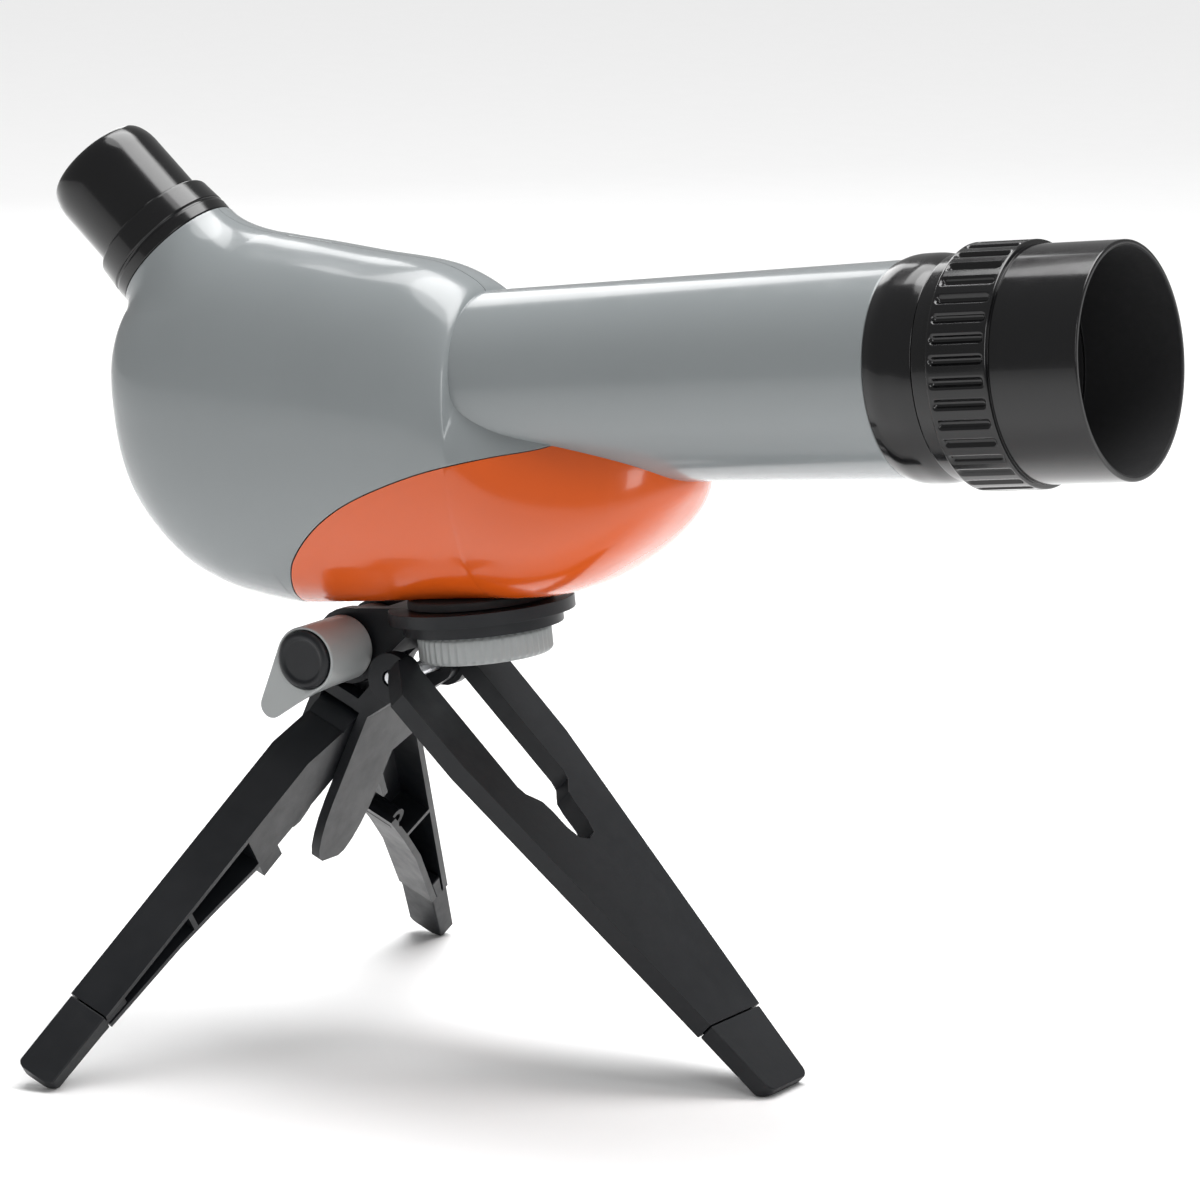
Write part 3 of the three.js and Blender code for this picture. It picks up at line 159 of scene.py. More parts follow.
def joined_mesh(name, sheets):
    """One mesh from sheets of (grid, wrap rows, wrap columns). A sheet whose sum of (centre - middle)
    dot normal is negative is turned to face outwards. Points that meet are merged, which closes poles."""
    points, faces, start = [], [], 0
    for grid, wrap_rows, wrap_columns in sheets:
        flat = grid.reshape(-1, 3)
        cells = quads(grid.shape[0], grid.shape[1], wrap_rows, wrap_columns)
        corner = flat[cells]
        normal = np.cross(corner[:, 2] - corner[:, 0], corner[:, 3] - corner[:, 1])
        if ((corner.mean(1) - flat.mean(0)) * normal).sum() < 0:
            cells = cells[:, ::-1]
        points.append(flat)
        faces.append(cells + start)
        start += len(flat)
    points, faces = np.concatenate(points), np.concatenate(faces)
    mesh = bpy.data.meshes.new(name)
    mesh.vertices.add(len(points))
    mesh.vertices.foreach_set("co", points.ravel())
    mesh.loops.add(faces.size)
    mesh.loops.foreach_set("vertex_index", faces.ravel())
    mesh.polygons.add(len(faces))
    mesh.polygons.foreach_set("loop_start", np.arange(len(faces)) * 4)
    mesh.update(calc_edges=True)
    work = bmesh.new()
    work.from_mesh(mesh)
    bmesh.ops.remove_doubles(work, verts=work.verts, dist=2e-6)
    bmesh.ops.dissolve_degenerate(work, edges=work.edges, dist=1e-6)
    work.to_mesh(mesh)
    work.free()
    return mesh


def finished(mesh, body, nodes, slot, finishes, wall=0.0, edge=0.0, steps=2, crease=35):
    """The mesh as a piece that rides on a body: a wall inwards, rounded edges and even shading."""
    mesh.polygons.foreach_set("use_smooth", np.ones(len(mesh.polygons), bool))
    piece = bpy.data.objects.new(mesh.name, mesh)
    bpy.context.scene.collection.objects.link(piece)
    mesh.materials.clear()
    for finish in finishes:
        mesh.materials.append(finish)
    if wall:
        shell = piece.modifiers.new("wall", "SOLIDIFY")
        shell.thickness = wall * MM
        shell.offset = -1
    if edge:
        bevel = piece.modifiers.new("edges", "BEVEL")
        bevel.width = edge * MM
        bevel.segments = steps
        bevel.limit_method = "ANGLE"
        bevel.angle_limit = radians(crease)
        bevel.use_clamp_overlap = True
    even = piece.modifiers.new("shading", "WEIGHTED_NORMAL")
    even.keep_sharp = False
    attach(piece, body)
    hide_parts(*nodes)
    return piece


def softened(node, name, body, slot, finish, edge, steps=3, crease=28):
    """A moulded piece: the solid's own shape, its flat faces joined and its edges rounded."""
    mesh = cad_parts[node].data.copy()
    mesh.name = name
    work = bmesh.new()
    work.from_mesh(mesh)
    bmesh.ops.remove_doubles(work, verts=work.verts, dist=5e-6)
    bmesh.ops.dissolve_limit(work, angle_limit=radians(1), verts=work.verts, edges=work.edges)
    work.to_mesh(mesh)
    work.free()
    return finished(mesh, body, [node], slot, [finish], edge=edge, steps=steps, crease=crease)


def darkened_inside(piece, place, number=1):
    """Faces that look towards the axis take the piece's other finish: normal dot radius is negative."""
    mesh = piece.data
    count = len(mesh.polygons)
    centre, normal = np.empty(count * 3), np.empty(count * 3)
    mesh.polygons.foreach_get("center", centre)
    mesh.polygons.foreach_get("normal", normal)
    axis = np.array(place.to_3x3())[:, 2]
    away = centre.reshape(-1, 3) - np.array(place.translation)
    away -= (away @ axis)[:, None] * axis
    inside = (away * normal.reshape(-1, 3)).sum(1) < -1e-4 * np.linalg.norm(away, axis=1).max()
    mesh.polygons.foreach_set("material_index", inside.astype(np.int32) * number)


# ---------------------------------------------------------------- finishes
def adder(tree):
    """Returns add(kind, values, settings): values maps an input to a number or to another node's output."""

    def add(kind, values=(), **settings):
        """A new shader node with its settings, inputs and links in place."""
        node = tree.nodes.new("ShaderNode" + kind)
        for key, value in settings.items():
            setattr(node, key, value)
        for key, value in dict(values).items():
            if isinstance(value, bpy.types.NodeSocket):
                tree.links.new(value, node.inputs[key])
            else:
                node.inputs[key].default_value = value
        return node

    return add


def blank(name):
    """A material with an empty node tree, its adder and its output node."""
    made = bpy.data.materials.new(name)
    made.use_nodes = True
    made.node_tree.nodes.clear()
    add = adder(made.node_tree)
    return made, add, add("OutputMaterial")


def shade(colour, share):
    """A colour made lighter or darker by a share, with full opacity."""
    return [min(max(c * (1 + share), 0), 1) for c in colour[:3]] + [1]


def moulded(name, colour, rough, spread, grain, depth, mottle=0.03, coat=0.0, stretch=(1, 1, 1), ior=1.5):
    """Moulded plastic. Clouds a few centimetres wide vary the colour, finer marks vary the roughness,
    and grain of the given size in millimetres makes the bump."""
    made, add, output = blank(name)
    place = add("TexCoord").outputs["Object"]
    along = add("Mapping", {"Vector": place, "Scale": stretch}).outputs["Vector"]
    cloud = add("TexNoise", {"Vector": place, "Scale": 34.0, "Detail": 3.0, "Roughness": 0.5})
    marks = add("TexNoise", {"Vector": along, "Scale": 210.0, "Detail": 5.0, "Roughness": 0.62})
    fine = add("TexNoise", {"Vector": along, "Scale": 1000.0 / grain, "Detail": 2.0, "Roughness": 0.5})
    tint = add("Mix", {"Factor": cloud.outputs["Fac"]}, data_type="RGBA")
    tint.inputs[6].default_value = shade(colour, -mottle)
    tint.inputs[7].default_value = shade(colour, mottle)
    blend = add("Math", {0: cloud.outputs["Fac"], 1: marks.outputs["Fac"]}, operation="ADD")
    rubbed = add("MapRange", {
        "Value": blend.outputs[0], "From Min": 0.75, "From Max": 1.3,
        "To Min": max(rough - spread, 0.02), "To Max": rough + spread})
    bump = add("Bump", {"Strength": 0.6, "Distance": depth * MM, "Height": fine.outputs["Fac"]})
    shader = add("BsdfPrincipled", {
        "Base Color": tint.outputs[2], "Roughness": rubbed.outputs[0], "Normal": bump.outputs[0]})
    shader.inputs["IOR"].default_value = ior
    shader.inputs["Coat Weight"].default_value = coat
    shader.inputs["Coat Roughness"].default_value = 0.06
    made.node_tree.links.new(shader.outputs[0], output.inputs[0])
    return made


def metallic(name, colour, rough, spread, stretch, depth):
    """Turned or drawn metal: streaks made of noise stretched along one direction, with dull patches."""
    made, add, output = blank(name)
    place = add("TexCoord").outputs["Object"]
    along = add("Mapping", {"Vector": place, "Scale": stretch}).outputs["Vector"]
    streak = add("TexNoise", {"Vector": along, "Scale": 900.0, "Detail": 4.0, "Roughness": 0.6})
    patch = add("TexNoise", {"Vector": place, "Scale": 160.0, "Detail": 3.0, "Roughness": 0.5})
    tint = add("Mix", {"Factor": patch.outputs["Fac"]}, data_type="RGBA")
    tint.inputs[6].default_value = shade(colour, -0.09)
    tint.inputs[7].default_value = shade(colour, 0.06)
    blend = add("Math", {0: streak.outputs["Fac"], 1: patch.outputs["Fac"]}, operation="ADD")
    dull = add("MapRange", {
        "Value": blend.outputs[0], "From Min": 0.75, "From Max": 1.3,
        "To Min": rough - spread, "To Max": rough + spread})
    bump = add("Bump", {"Strength": 0.5, "Distance": depth * MM, "Height": streak.outputs["Fac"]})
    shader = add("BsdfPrincipled", {
        "Base Color": tint.outputs[2], "Roughness": dull.outputs[0], "Normal": bump.outputs[0]})
    shader.inputs["Metallic"].default_value = 1.0
    made.node_tree.links.new(shader.outputs[0], output.inputs[0])
    return made


def coated_glass(name, face, edge):
    """Lens glass. Its coating's tint drifts from one colour to another towards the rim of the view,
    and faint wipe marks vary the roughness."""
    made, add, output = blank(name)
    place = add("TexCoord").outputs["Object"]
    wipe = add("TexNoise", {"Vector": place, "Scale": 120.0, "Detail": 4.0, "Roughness": 0.55})
    facing = add("LayerWeight", {"Blend": 0.35}).outputs["Facing"]
    tint = add("Mix", {"Factor": facing}, data_type="RGBA")
    tint.inputs[6].default_value = shade(face, 0)
    tint.inputs[7].default_value = shade(edge, 0)
    dull = add("MapRange", {
        "Value": wipe.outputs["Fac"], "From Min": 0.45, "From Max": 0.75, "To Min": 0.01, "To Max": 0.05})
    bump = add("Bump", {"Strength": 0.2, "Distance": 0.002 * MM, "Height": wipe.outputs["Fac"]})
    shader = add("BsdfPrincipled", {
        "Base Color": tint.outputs[2], "Roughness": dull.outputs[0], "Normal": bump.outputs[0]})
    shader.inputs["Transmission Weight"].default_value = 1.0
    shader.inputs["IOR"].default_value = 1.52
    made.node_tree.links.new(shader.outputs[0], output.inputs[0])
    return made


FINISHES = {}


def finish_set(choice):
    """Every finish of the telescope and tripod, made once."""
    if not FINISHES:
        FINISHES.update({
            "grey": moulded("grey_gloss_plastic", choice.grey, choice.gloss_rough, 0.05, 0.9, 0.006,
                            mottle=0.025, coat=0.35),
            "orange": moulded("orange_gloss_plastic", choice.orange, choice.gloss_rough, 0.04, 0.8, 0.006,
                              mottle=0.03, coat=0.4),
            "black": moulded("black_gloss_plastic", choice.black, 0.16, 0.04, 0.6, 0.004,
                             mottle=0.15, coat=0.2, ior=1.45),
            "satin": moulded("satin_black_plastic", choice.satin, 0.42, 0.07, 0.5, 0.02,
                             mottle=0.15, ior=1.4),
            "foot": moulded("matt_black_foot_plastic", choice.satin, 0.5, 0.08, 0.7, 0.04,
                            mottle=0.15, ior=1.4),
            "silver": moulded("silver_grey_plastic", choice.silver, 0.36, 0.07, 0.35, 0.015, coat=0.1),
            "inner": moulded("matt_black_inner_plastic", (0.006, 0.006, 0.007), 0.8, 0.08, 0.5, 0.04, 0.1),
            "rubber": moulded("ribbed_black_rubber", (0.012, 0.012, 0.013), 0.78, 0.1, 0.8, 0.08, 0.15),
            "steel": metallic("zinc_plated_steel", (0.62, 0.63, 0.65), 0.3, 0.08, (1, 1, 0.12), 0.01),
            "brass": metallic("turned_brass", (0.72, 0.52, 0.24), 0.28, 0.08, (1, 1, 0.2), 0.01),
            "glass": coated_glass("coated_lens_glass", (0.94, 0.97, 0.98), (0.8, 0.88, 0.98)),
            "prism": coated_glass("polished_prism_glass", (0.96, 0.98, 0.98), (0.9, 0.95, 0.95)),
        })
    return FINISHES


# ---------------------------------------------------------------- settings
def length(name, description, default, low=0.0, high=200.0):
    """A size in millimetres."""
    return FloatProperty(name=name, description=description, default=default, min=low, max=high,
                         subtype="DISTANCE", unit="NONE")


def colour(name, description, default):
    """A linear colour."""
    return FloatVectorProperty(name=name, description=description, default=default, size=3, min=0, max=1,
                               subtype="COLOR")


class TelescopeColours(bpy.types.PropertyGroup):
    """Colours and gloss of the plastics"""

    grey: colour("Body grey", "Colour of the body and the tube", (0.232, 0.252, 0.258))
    orange: colour("Belly orange", "Colour of the belly panel", (0.66, 0.095, 0.008))
    black: colour("Gloss black", "Colour of the hood, collar and eyepiece", (0.0035, 0.0035, 0.004))
    satin: colour("Satin black", "Colour of the tripod", (0.0065, 0.0075, 0.0095))
    silver: colour("Silver grey", "Colour of the thumbwheel and the tilt knob", (0.33, 0.345, 0.345))
    gloss_rough: FloatProperty(name="Gloss roughness", description="Roughness of the glossy plastics",
                               default=0.21, min=0.02, max=1, subtype="FACTOR")


class TelescopeBody(bpy.types.PropertyGroup):
    """Sizes of the body's mouldings"""

    wall: length("Wall", "Thickness of the body's mouldings", 1.8, 0.5, 4)
    seam: length("Seam", "Gap between the two halves", 0.24, 0.05, 1)
    panel_gap: length("Panel gap", "Gap round the belly panel", 0.3, 0.05, 1)
    edge: length("Edge rounding", "Rounding of the mouldings' edges", 0.3, 0.05, 1)
    well: length("Screw wells", "Radius of the screws' wells in the left half", 2.9, 2.7, 3.3)
    neck_spread: length("Neck spread", "Radius at which the neck leaves the body", 27.5, 21, 32)


class TelescopeHood(bpy.types.PropertyGroup):
    """Sizes of the focusing hood"""

    radius: length("Hood radius", "Outer radius of the hood", 31.0, 30.2, 31.0)
    grip_radius: length("Grip radius", "Outer radius of the ribbed band", 32.2, 31.2, 32.2)
    slots: IntProperty(name="Slots", description="Number of slots in the ribbed band",
                       default=36, min=12, max=60)
    slot_depth: length("Slot depth", "Depth of the slots in the ribbed band", 1.3, 0.2, 2)
    slot_share: FloatProperty(name="Slot share", description="Share of the pitch that a slot takes",
                              default=0.36, min=0.1, max=0.8, subtype="FACTOR")


class TelescopeTripod(bpy.types.PropertyGroup):
    """Sizes of the tripod's small parts"""

    leg_edge: length("Leg edges", "Rounding of the legs' edges", 0.55, 0.1, 1.2)
    head_edge: length("Head edges", "Rounding of the head plate's edges", 0.7, 0.1, 1.2)
    flutes: IntProperty(name="Flutes", description="Number of flutes round the thumbwheel",
                        default=48, min=12, max=96)
    flute_depth: length("Flute depth", "Depth of the thumbwheel's flutes", 0.45, 0.1, 0.6)


class TelescopeStudio(bpy.types.PropertyGroup):
    """Camera and light"""

    azimuth: FloatProperty(name="Azimuth", description="Camera's turn round the object",
                           default=radians(30.5), subtype="ANGLE", unit="ROTATION")
    elevation: FloatProperty(name="Elevation", description="Camera's height above level",
                             default=radians(11.2), subtype="ANGLE", unit="ROTATION")
    distance: FloatProperty(name="Distance", description="From the camera to its target", default=1.8,
                            min=0.3, max=10, subtype="DISTANCE", unit="LENGTH")
    focal: FloatProperty(name="Focal length", description="Camera's focal length", default=201.08,
                         min=20, max=400, unit="CAMERA")
    key_power: FloatProperty(name="Key light", description="Power of the large light overhead", default=15.0,
                             min=0, max=200, unit="POWER")
    wash: FloatProperty(name="Overhead wash", description="Strength of the broad light from above",
                        default=1.8, min=0, max=10)
    sky: FloatProperty(name="Surroundings", description="Brightness of the white surroundings", default=0.32,
                       min=0, max=3)


# ---------------------------------------------------------------- body form
FLOOR = -55.6  # the flat underside, below the telescope's axis
KEEL = FLOOR - 1.8
# Stations along the body: place, top, bottom, half width, height of the widest line.
STATIONS = np.array([
    [-64, 5, 5, 0, 5], [-63.6, 18, -8, 12, 5], [-62.2, 25, -19, 19, 4], [-58.5, 31, -30, 25, 2],
    [-51, 37, -40, 29.5, 0], [-41.6, 42, -48, 32, -2], [-27, 46, -54, 33.5, -4], [-6, 42.8, KEEL, 34, -6],
    [16, 38.4, KEEL, 34, -8], [36.4, 34.4, KEEL, 33, -11], [47.5, 28.8, KEEL, 31.8, -15],
    [50.5, 25.5, KEEL, 31.6, -17], [52, 11, KEEL, 31.6, -19], [57, 4.5, KEEL, 31.5, -23],
    [66, -1, KEEL + 0.6, 31, -28], [78, -4, -54, 29.5, -31], [88, -7, -49.2, 27, -31.5],
    [99, -11, -41.6, 21.5, -29.5], [105.6, -15, -34.8, 15, -27], [110, -22, -29, 5, -26],
    [111, -26, -26, 0, -26]])
# The belly panel's upper edge: place along the telescope, height.
BELLY_EDGE = np.array([
    [-10.5, -57.6], [-8.5, -52], [-2.4, -41.7], [14, -29], [28.6, -23], [46.6, -18.2],
    [63.7, -15.6], [76, -14.4], [88, -11.5], [100, -9], [114, -8]])
CROWN, KEEL_POWER = 2.15, 2.6  # powers of the sections' equation above and below their widest line
UPPER, LOWER = 2 / CROWN, 2 / KEEL_POWER
SKIRT_BACK = -10.6  # behind this place the halves meet under the keel
PANEL_BACK = -10.4


def body_table():
    """The stations carried along their own chord length by monotone curves, then evened by a bell-shaped
    mean 2 mm wide, so that highlights run smoothly. Ends keep their places."""
    chord = np.linalg.norm(np.diff(STATIONS[:, :4], axis=0), axis=1)
    place = np.concatenate([[0], np.cumsum(chord)])
    at = np.linspace(0, place[-1], 2400)
    rows = monotone(at, place, STATIONS)
    spacing = at[1]
    reach = int(6 / spacing)
    weight = np.exp(-0.5 * (np.arange(-reach, reach + 1) * spacing / 2.0) ** 2)
    weight /= weight.sum()
    padded = np.pad(rows, ((reach, reach), (0, 0)), mode="reflect", reflect_type="odd")
    even = np.stack([np.convolve(padded[:, k], weight, "valid") for k in range(5)], -1)
    even[:, 0] = np.maximum.accumulate(even[:, 0] + np.arange(len(even)) * 1e-9)
    return at, even


TABLE_AT, TABLE = body_table()


def station_rows(at):
    """The body's section sizes at lengths along the table."""
    return np.stack([np.interp(at, TABLE_AT, TABLE[:, k]) for k in range(5)], -1)


def length_at(x):
    """The table length at places along the telescope."""
    return np.interp(x, TABLE[:, 0], TABLE_AT)


def section_at(x, z):
    """For points of the side view: distance from the widest line, reach on that side, power, half width."""
    rows = station_rows(length_at(x.ravel())).reshape(x.shape + (5,))
    top, bottom, half, middle = [rows[..., k] for k in range(1, 5)]
    up = z - middle
    above = up > 0
    reach = np.where(above, top - middle, middle - bottom)
    return np.abs(up), reach, np.where(above, CROWN, KEEL_POWER), half


def section_points(rows, angle, side_shift=0.0, floor=FLOOR):
    """Rounded-box sections: y = half |sin a|^p, z = middle + reach |cos a|^p, with one power above the
    widest line and another below, cut flat at the floor. angle is 0 at the top and pi at the keel."""
    x, top, bottom, half, middle = [rows[:, k, None] for k in range(5)]
    up = np.cos(angle)
    power = np.where(up > 0, UPPER, LOWER)
    reach = np.where(up > 0, top - middle, middle - bottom)
    wide = np.maximum(half - abs(side_shift), 0)
    y = side_shift + wide * np.sign(np.sin(angle)) * np.abs(np.sin(angle)) ** power
    z = middle + reach * np.sign(up) * np.abs(up) ** power
    return np.stack([x + 0 * angle, y, np.maximum(z, floor)], -1)


def edge_angle(rows, gap):
    """The section angle at which the belly's edge crosses each row: z solved for the angle."""
    x, top, bottom, middle = [rows[:, k] for k in (0, 1, 2, 4)]
    place, height = BELLY_EDGE.T
    rise = monotone(np.clip(x, place[0], place[-1]), place, height[:, None])[:, 0]
    steep = np.interp(x, place, np.gradient(height, place))
    height = rise + gap * np.sqrt(1 + steep**2)
    below = np.clip((middle - height) / np.maximum(middle - bottom, 1e-6), 0, 1) ** (1 / LOWER)
    above = np.clip((height - middle) / np.maximum(top - middle, 1e-6), 0, 1) ** (1 / UPPER)
    return np.where(height < middle, pi - np.arccos(below), np.arccos(above))


def body_value(points):
    """The section's own equation at points: below 1 inside the body, above 1 outside."""
    off, reach, power, half = section_at(points[..., 0], points[..., 2])
    wide = np.abs(points[..., 1]) / np.maximum(half, 1e-6)
    return wide**power + (off / np.maximum(reach, 1e-6)) ** power


EYE_LOCAL = np.array((Matrix.Rotation(EYE_SLOPE - pi / 2, 3, "Y")))
EYE_MIDDLE = np.array([EYE_BACK, 0, EYE_RISE])


def neck_sheet(spread, side, seam, radius=19.2, end=-0.3):
    """Half of the neck. It leaves the body along the body's surface on a ring of the given spread round the
    eyepiece's axis and ends as a cylinder: a cubic curve from foot to end for each angle. The foot is
    found by halving the interval along the axis until the body's equation gives 1."""
    count = 97
    shift = np.arcsin(seam / spread)
    angle = side * np.linspace(shift, pi - shift, count)
    ring = np.stack([np.cos(angle), np.sin(angle), 0 * angle], -1) @ EYE_LOCAL.T
    axis = EYE_LOCAL[:, 2]
    low, high = np.full(count, -60.0), np.full(count, 30.0)
    for _ in range(40):
        middle = (low + high) / 2
        outside = body_value(EYE_MIDDLE + spread * ring + middle[:, None] * axis) > 1
        low, high = np.where(outside, low, middle), np.where(outside, middle, high)
    foot = EYE_MIDDLE + spread * ring + high[:, None] * axis
    step = 0.05
    shifts = np.eye(3) * step
    ahead = np.stack([body_value(foot + shifts[k]) for k in range(3)], -1)
    behind = np.stack([body_value(foot - shifts[k]) for k in range(3)], -1)
    normal = ahead - behind
    normal /= np.linalg.norm(normal, axis=1, keepdims=True)
    along = -ring + (ring * normal).sum(1, keepdims=True) * normal
    along /= np.linalg.norm(along, axis=1, keepdims=True)
    top = EYE_MIDDLE + radius * ring + end * axis
    span = np.linalg.norm(top - foot, axis=1, keepdims=True)
    t = np.linspace(0, 1, 25)[:, None, None]
    start_pull, end_pull = along * span * 1.1, axis * span * 0.8
    return (
        (2 * t**3 - 3 * t**2 + 1) * (foot - normal * 0.03) + (t**3 - 2 * t**2 + t) * start_pull
        + (3 * t**2 - 2 * t**3) * top + (t**3 - t**2) * end_pull)


SCREW_PLACES = np.array([[-46, -16], [-6, -34], [20, 26], [-8, 33]])  # along and above the telescope's axis
SCREW_SEAT, BOSS_END = 15.4, 13.0  # from the telescope's middle plane
SCREW_HOLE, BOSS_WALL = 1.8, 0.9
WELL_START, WELL_END = 12.0, 40.0


def wall_side(x, z):
    """The body's half width at a point of its side view: half (1 - (off / reach)^p)^(1 / p)."""
    off, reach, power, half = section_at(x, z)
    return half * np.maximum(1 - (off / reach) ** power, 0) ** (1 / power)


def boss_sheets(well, wall):
    """Closed rings round the four screws' places, each from a seat up to just inside the body's side.
    For each angle a: (x + r cos a, y, z + r sin a), with y on the seat or under the side's surface."""
    around = 48
    angle = (np.arange(around) * 2 * pi / around)[None, :]
    outer = well + BOSS_WALL
    end, seat, top = 0, 1, 2  # the level that each of the ring's corners is on
    ring = np.array([
        [well, top], [outer, top], [outer, end], [SCREW_HOLE, end], [SCREW_HOLE, seat], [well, seat]])
    level = ring[:, 1, None] + 0 * angle
    sheets = []
    for x, z in SCREW_PLACES:
        radius = ring[:, 0, None] + 0 * angle
        along, up = x + radius * np.cos(angle), z + radius * np.sin(angle)
        under_skin = wall_side(along, up) - wall * 0.5
        depth = np.where(level == top, under_skin, np.where(level == end, BOSS_END, SCREW_SEAT))
        sheets.append((placed(np.stack([along, depth, up], -1), SCOPE), True, True))
    return sheets


def drilled(mesh, wall, well):
    """The open skin gets its wall, a round well is cut at each screw's place, and the bosses join it."""
    skin = bpy.data.objects.new("body_skin", mesh)
    profile = np.array([[WELL_START, 0], [WELL_START, well], [WELL_END, well], [WELL_END, 0]])
    wells = []
    for x, z in SCREW_PLACES:
        place = SCOPE @ Matrix.Translation((x * MM, 0, z * MM)) @ Matrix.Rotation(-pi / 2, 4, "X")
        wells.append((turned(profile, place, 48), False, True))
    cutter = bpy.data.objects.new("screw_wells", joined_mesh("screw_wells", wells))
    for item in (skin, cutter):
        bpy.context.scene.collection.objects.link(item)
    shell = skin.modifiers.new("wall", "SOLIDIFY")
    shell.thickness, shell.offset, shell.material_offset = wall * MM, -1, 1
    cut = skin.modifiers.new("wells", "BOOLEAN")
    cut.operation, cut.solver, cut.object = "DIFFERENCE", "MANIFOLD", cutter
    mesh.materials.append(FINISHES["grey"])
    mesh.materials.append(FINISHES["inner"])
    bpy.context.view_layer.update()
    made = bpy.data.meshes.new_from_object(skin.evaluated_get(bpy.context.evaluated_depsgraph_get()))
    work = bmesh.new()
    work.from_mesh(made)
    work.from_mesh(joined_mesh("screw_bosses", boss_sheets(well, wall)))
    work.to_mesh(made)
    work.free()
    made.name = mesh.name + "_drilled"
    for item in (skin, cutter):
        bpy.data.objects.remove(item)
    return made


# ---------------------------------------------------------------- operators
class TELESCOPE_OT_body(bpy.types.Operator):
    """Draw the two halves of the grey body with the eyepiece's neck"""

    bl_idname = "telescope.body"
    bl_label = "Body Halves"

    def execute(self, context):
        size = context.scene.telescope_body
        grey = finish_set(context.scene.telescope_colours)["grey"]
        inner = FINISHES["inner"]
        at = np.concatenate([
            np.linspace(0, length_at(-12), 110)[:-1],
            np.linspace(length_at(-12), length_at(2), 90)[:-1],
            np.linspace(length_at(2), length_at(80), 150)])
        rows = station_rows(at)
        cut = np.where(rows[:, 0] < SKIRT_BACK, pi, edge_angle(rows, size.panel_gap))
        share = np.linspace(0, 1, 73)[None, :]
        for side, half in ((-1, "right"), (1, "left")):
            angle = side * share * cut[:, None]
            shell = section_points(rows, angle, side * size.seam / 2)
            neck = neck_sheet(size.neck_spread, side, size.seam / 2)
            mesh = joined_mesh("body_half_" + half, [
                (placed(shell, SCOPE), False, False), (placed(neck, SCOPE), False, False)])
            if side > 0:
                mesh = drilled(mesh, size.wall, size.well)
            piece = finished(mesh, "telescope", ["body_" + half], "grey_plastic", [grey, inner],
                             wall=size.wall if side < 0 else 0, edge=size.edge)
            if side < 0:
                piece.modifiers["wall"].material_offset = 1
        return {"FINISHED"}


class TELESCOPE_OT_belly(bpy.types.Operator):
    """Draw the orange belly panel"""

    bl_idname = "telescope.belly"
    bl_label = "Belly Panel"

    def execute(self, context):
        size = context.scene.telescope_body
        orange = finish_set(context.scene.telescope_colours)["orange"]
        start, end = length_at(PANEL_BACK), TABLE_AT[-1]
        at = start + (end - start) * np.linspace(0, 1, 190) ** 1.5
        rows = station_rows(at)
        edge = edge_angle(rows, 0)
        share = np.linspace(-1, 1, 121)[None, :]
        angle = pi + share * (pi - edge[:, None])
        mesh = joined_mesh("belly_cover", [(placed(section_points(rows, angle), SCOPE), False, False)])
        finished(mesh, "telescope", ["belly_panel"], "orange_plastic", [orange],
                 wall=size.wall, edge=size.edge)
        return {"FINISHED"}


class TELESCOPE_OT_tube(bpy.types.Operator):
    """Draw the main tube"""

    bl_idname = "telescope.tube"
    bl_label = "Main Tube"

    def execute(self, context):
        finish = finish_set(context.scene.telescope_colours)
        profile = rounded([
            (34, 25.6, 0.2), (52, 26.1, 0), (178, 28.6, 0.5), (178, 26.8, 0.2), (186, 26.8, 0.3),
            (186, 25, 0.2), (34, 23.8, 0.2)])
        mesh = joined_mesh("tube_barrel", [(turned(denser(profile, 6, 0, 40), BARREL, 160), True, True)])
        piece = finished(mesh, "telescope", ["main_tube"], "grey_plastic", [finish["grey"], finish["inner"]])
        darkened_inside(piece, BARREL)
        return {"FINISHED"}


class TELESCOPE_OT_hood(bpy.types.Operator):
    """Draw the collar behind the hood and the ribbed focusing hood"""

    bl_idname = "telescope.hood"
    bl_label = "Collar and Focusing Hood"

    def execute(self, context):
        size = context.scene.telescope_hood
        finish = finish_set(context.scene.telescope_colours)
        both = [finish["black"], finish["inner"]]
        collar = rounded([
            (178.3, 27.1, 0.1), (178.3, 28.9, 0.3), (181.8, 30, 2.2), (189, 30, 2.2), (192.6, 29, 0.4),
            (192.6, 27.2, 0.2), (211, 27.2, 0.3), (211, 25.5, 0.3), (186.3, 25.5, 0.1), (186.3, 27.1, 0.1)])
        mesh = joined_mesh("collar_ring", [(turned(collar, BARREL, 160), True, True)])
        darkened_inside(finished(mesh, "telescope", ["objective_collar"], "gloss_black", both), BARREL)

        grip, rim = size.grip_radius, size.radius
        profile = rounded([
            (192.9, 27.5, 0.1), (192.9, 29.6, 0.4), (198.3, 30, 0.1), (198.3, grip, 0.6), (215.8, grip, 0.6),
            (215.8, rim, 0.1), (240.8, rim, 0.45), (240.8, rim - 1.6, 0.45), (213, 29, 0.2), (213, 27.5, 0.1),
            (207.3, 27.5, 0.1), (207.3, 28.7, 0.1), (199.7, 28.7, 0.1), (199.7, 27.5, 0.1)])
        profile = denser(profile, 0.45, rim + 0.5, grip + 1)

        def slotted(along, radius, angle):
            """Slots: the radius drops by the depth inside a soft-edged window along and round the band."""
            turn = np.abs((angle * size.slots / (2 * pi) + 0.5) % 1 - 0.5)
            half = size.slot_share / 2
            across = 1 - smooth(turn, half - 0.07, half + 0.05)
            window = smooth(along, 199.2, 200.2) * (1 - smooth(along, 213.9, 214.9))
            return radius - size.slot_depth * across * window * (radius > rim + 0.4)

        mesh = joined_mesh("hood_ring", [(turned(profile, BARREL, size.slots * 12, slotted), True, True)])
        darkened_inside(finished(mesh, "focus_ring", ["focus_hood"], "gloss_black", both), BARREL)
        return {"FINISHED"}


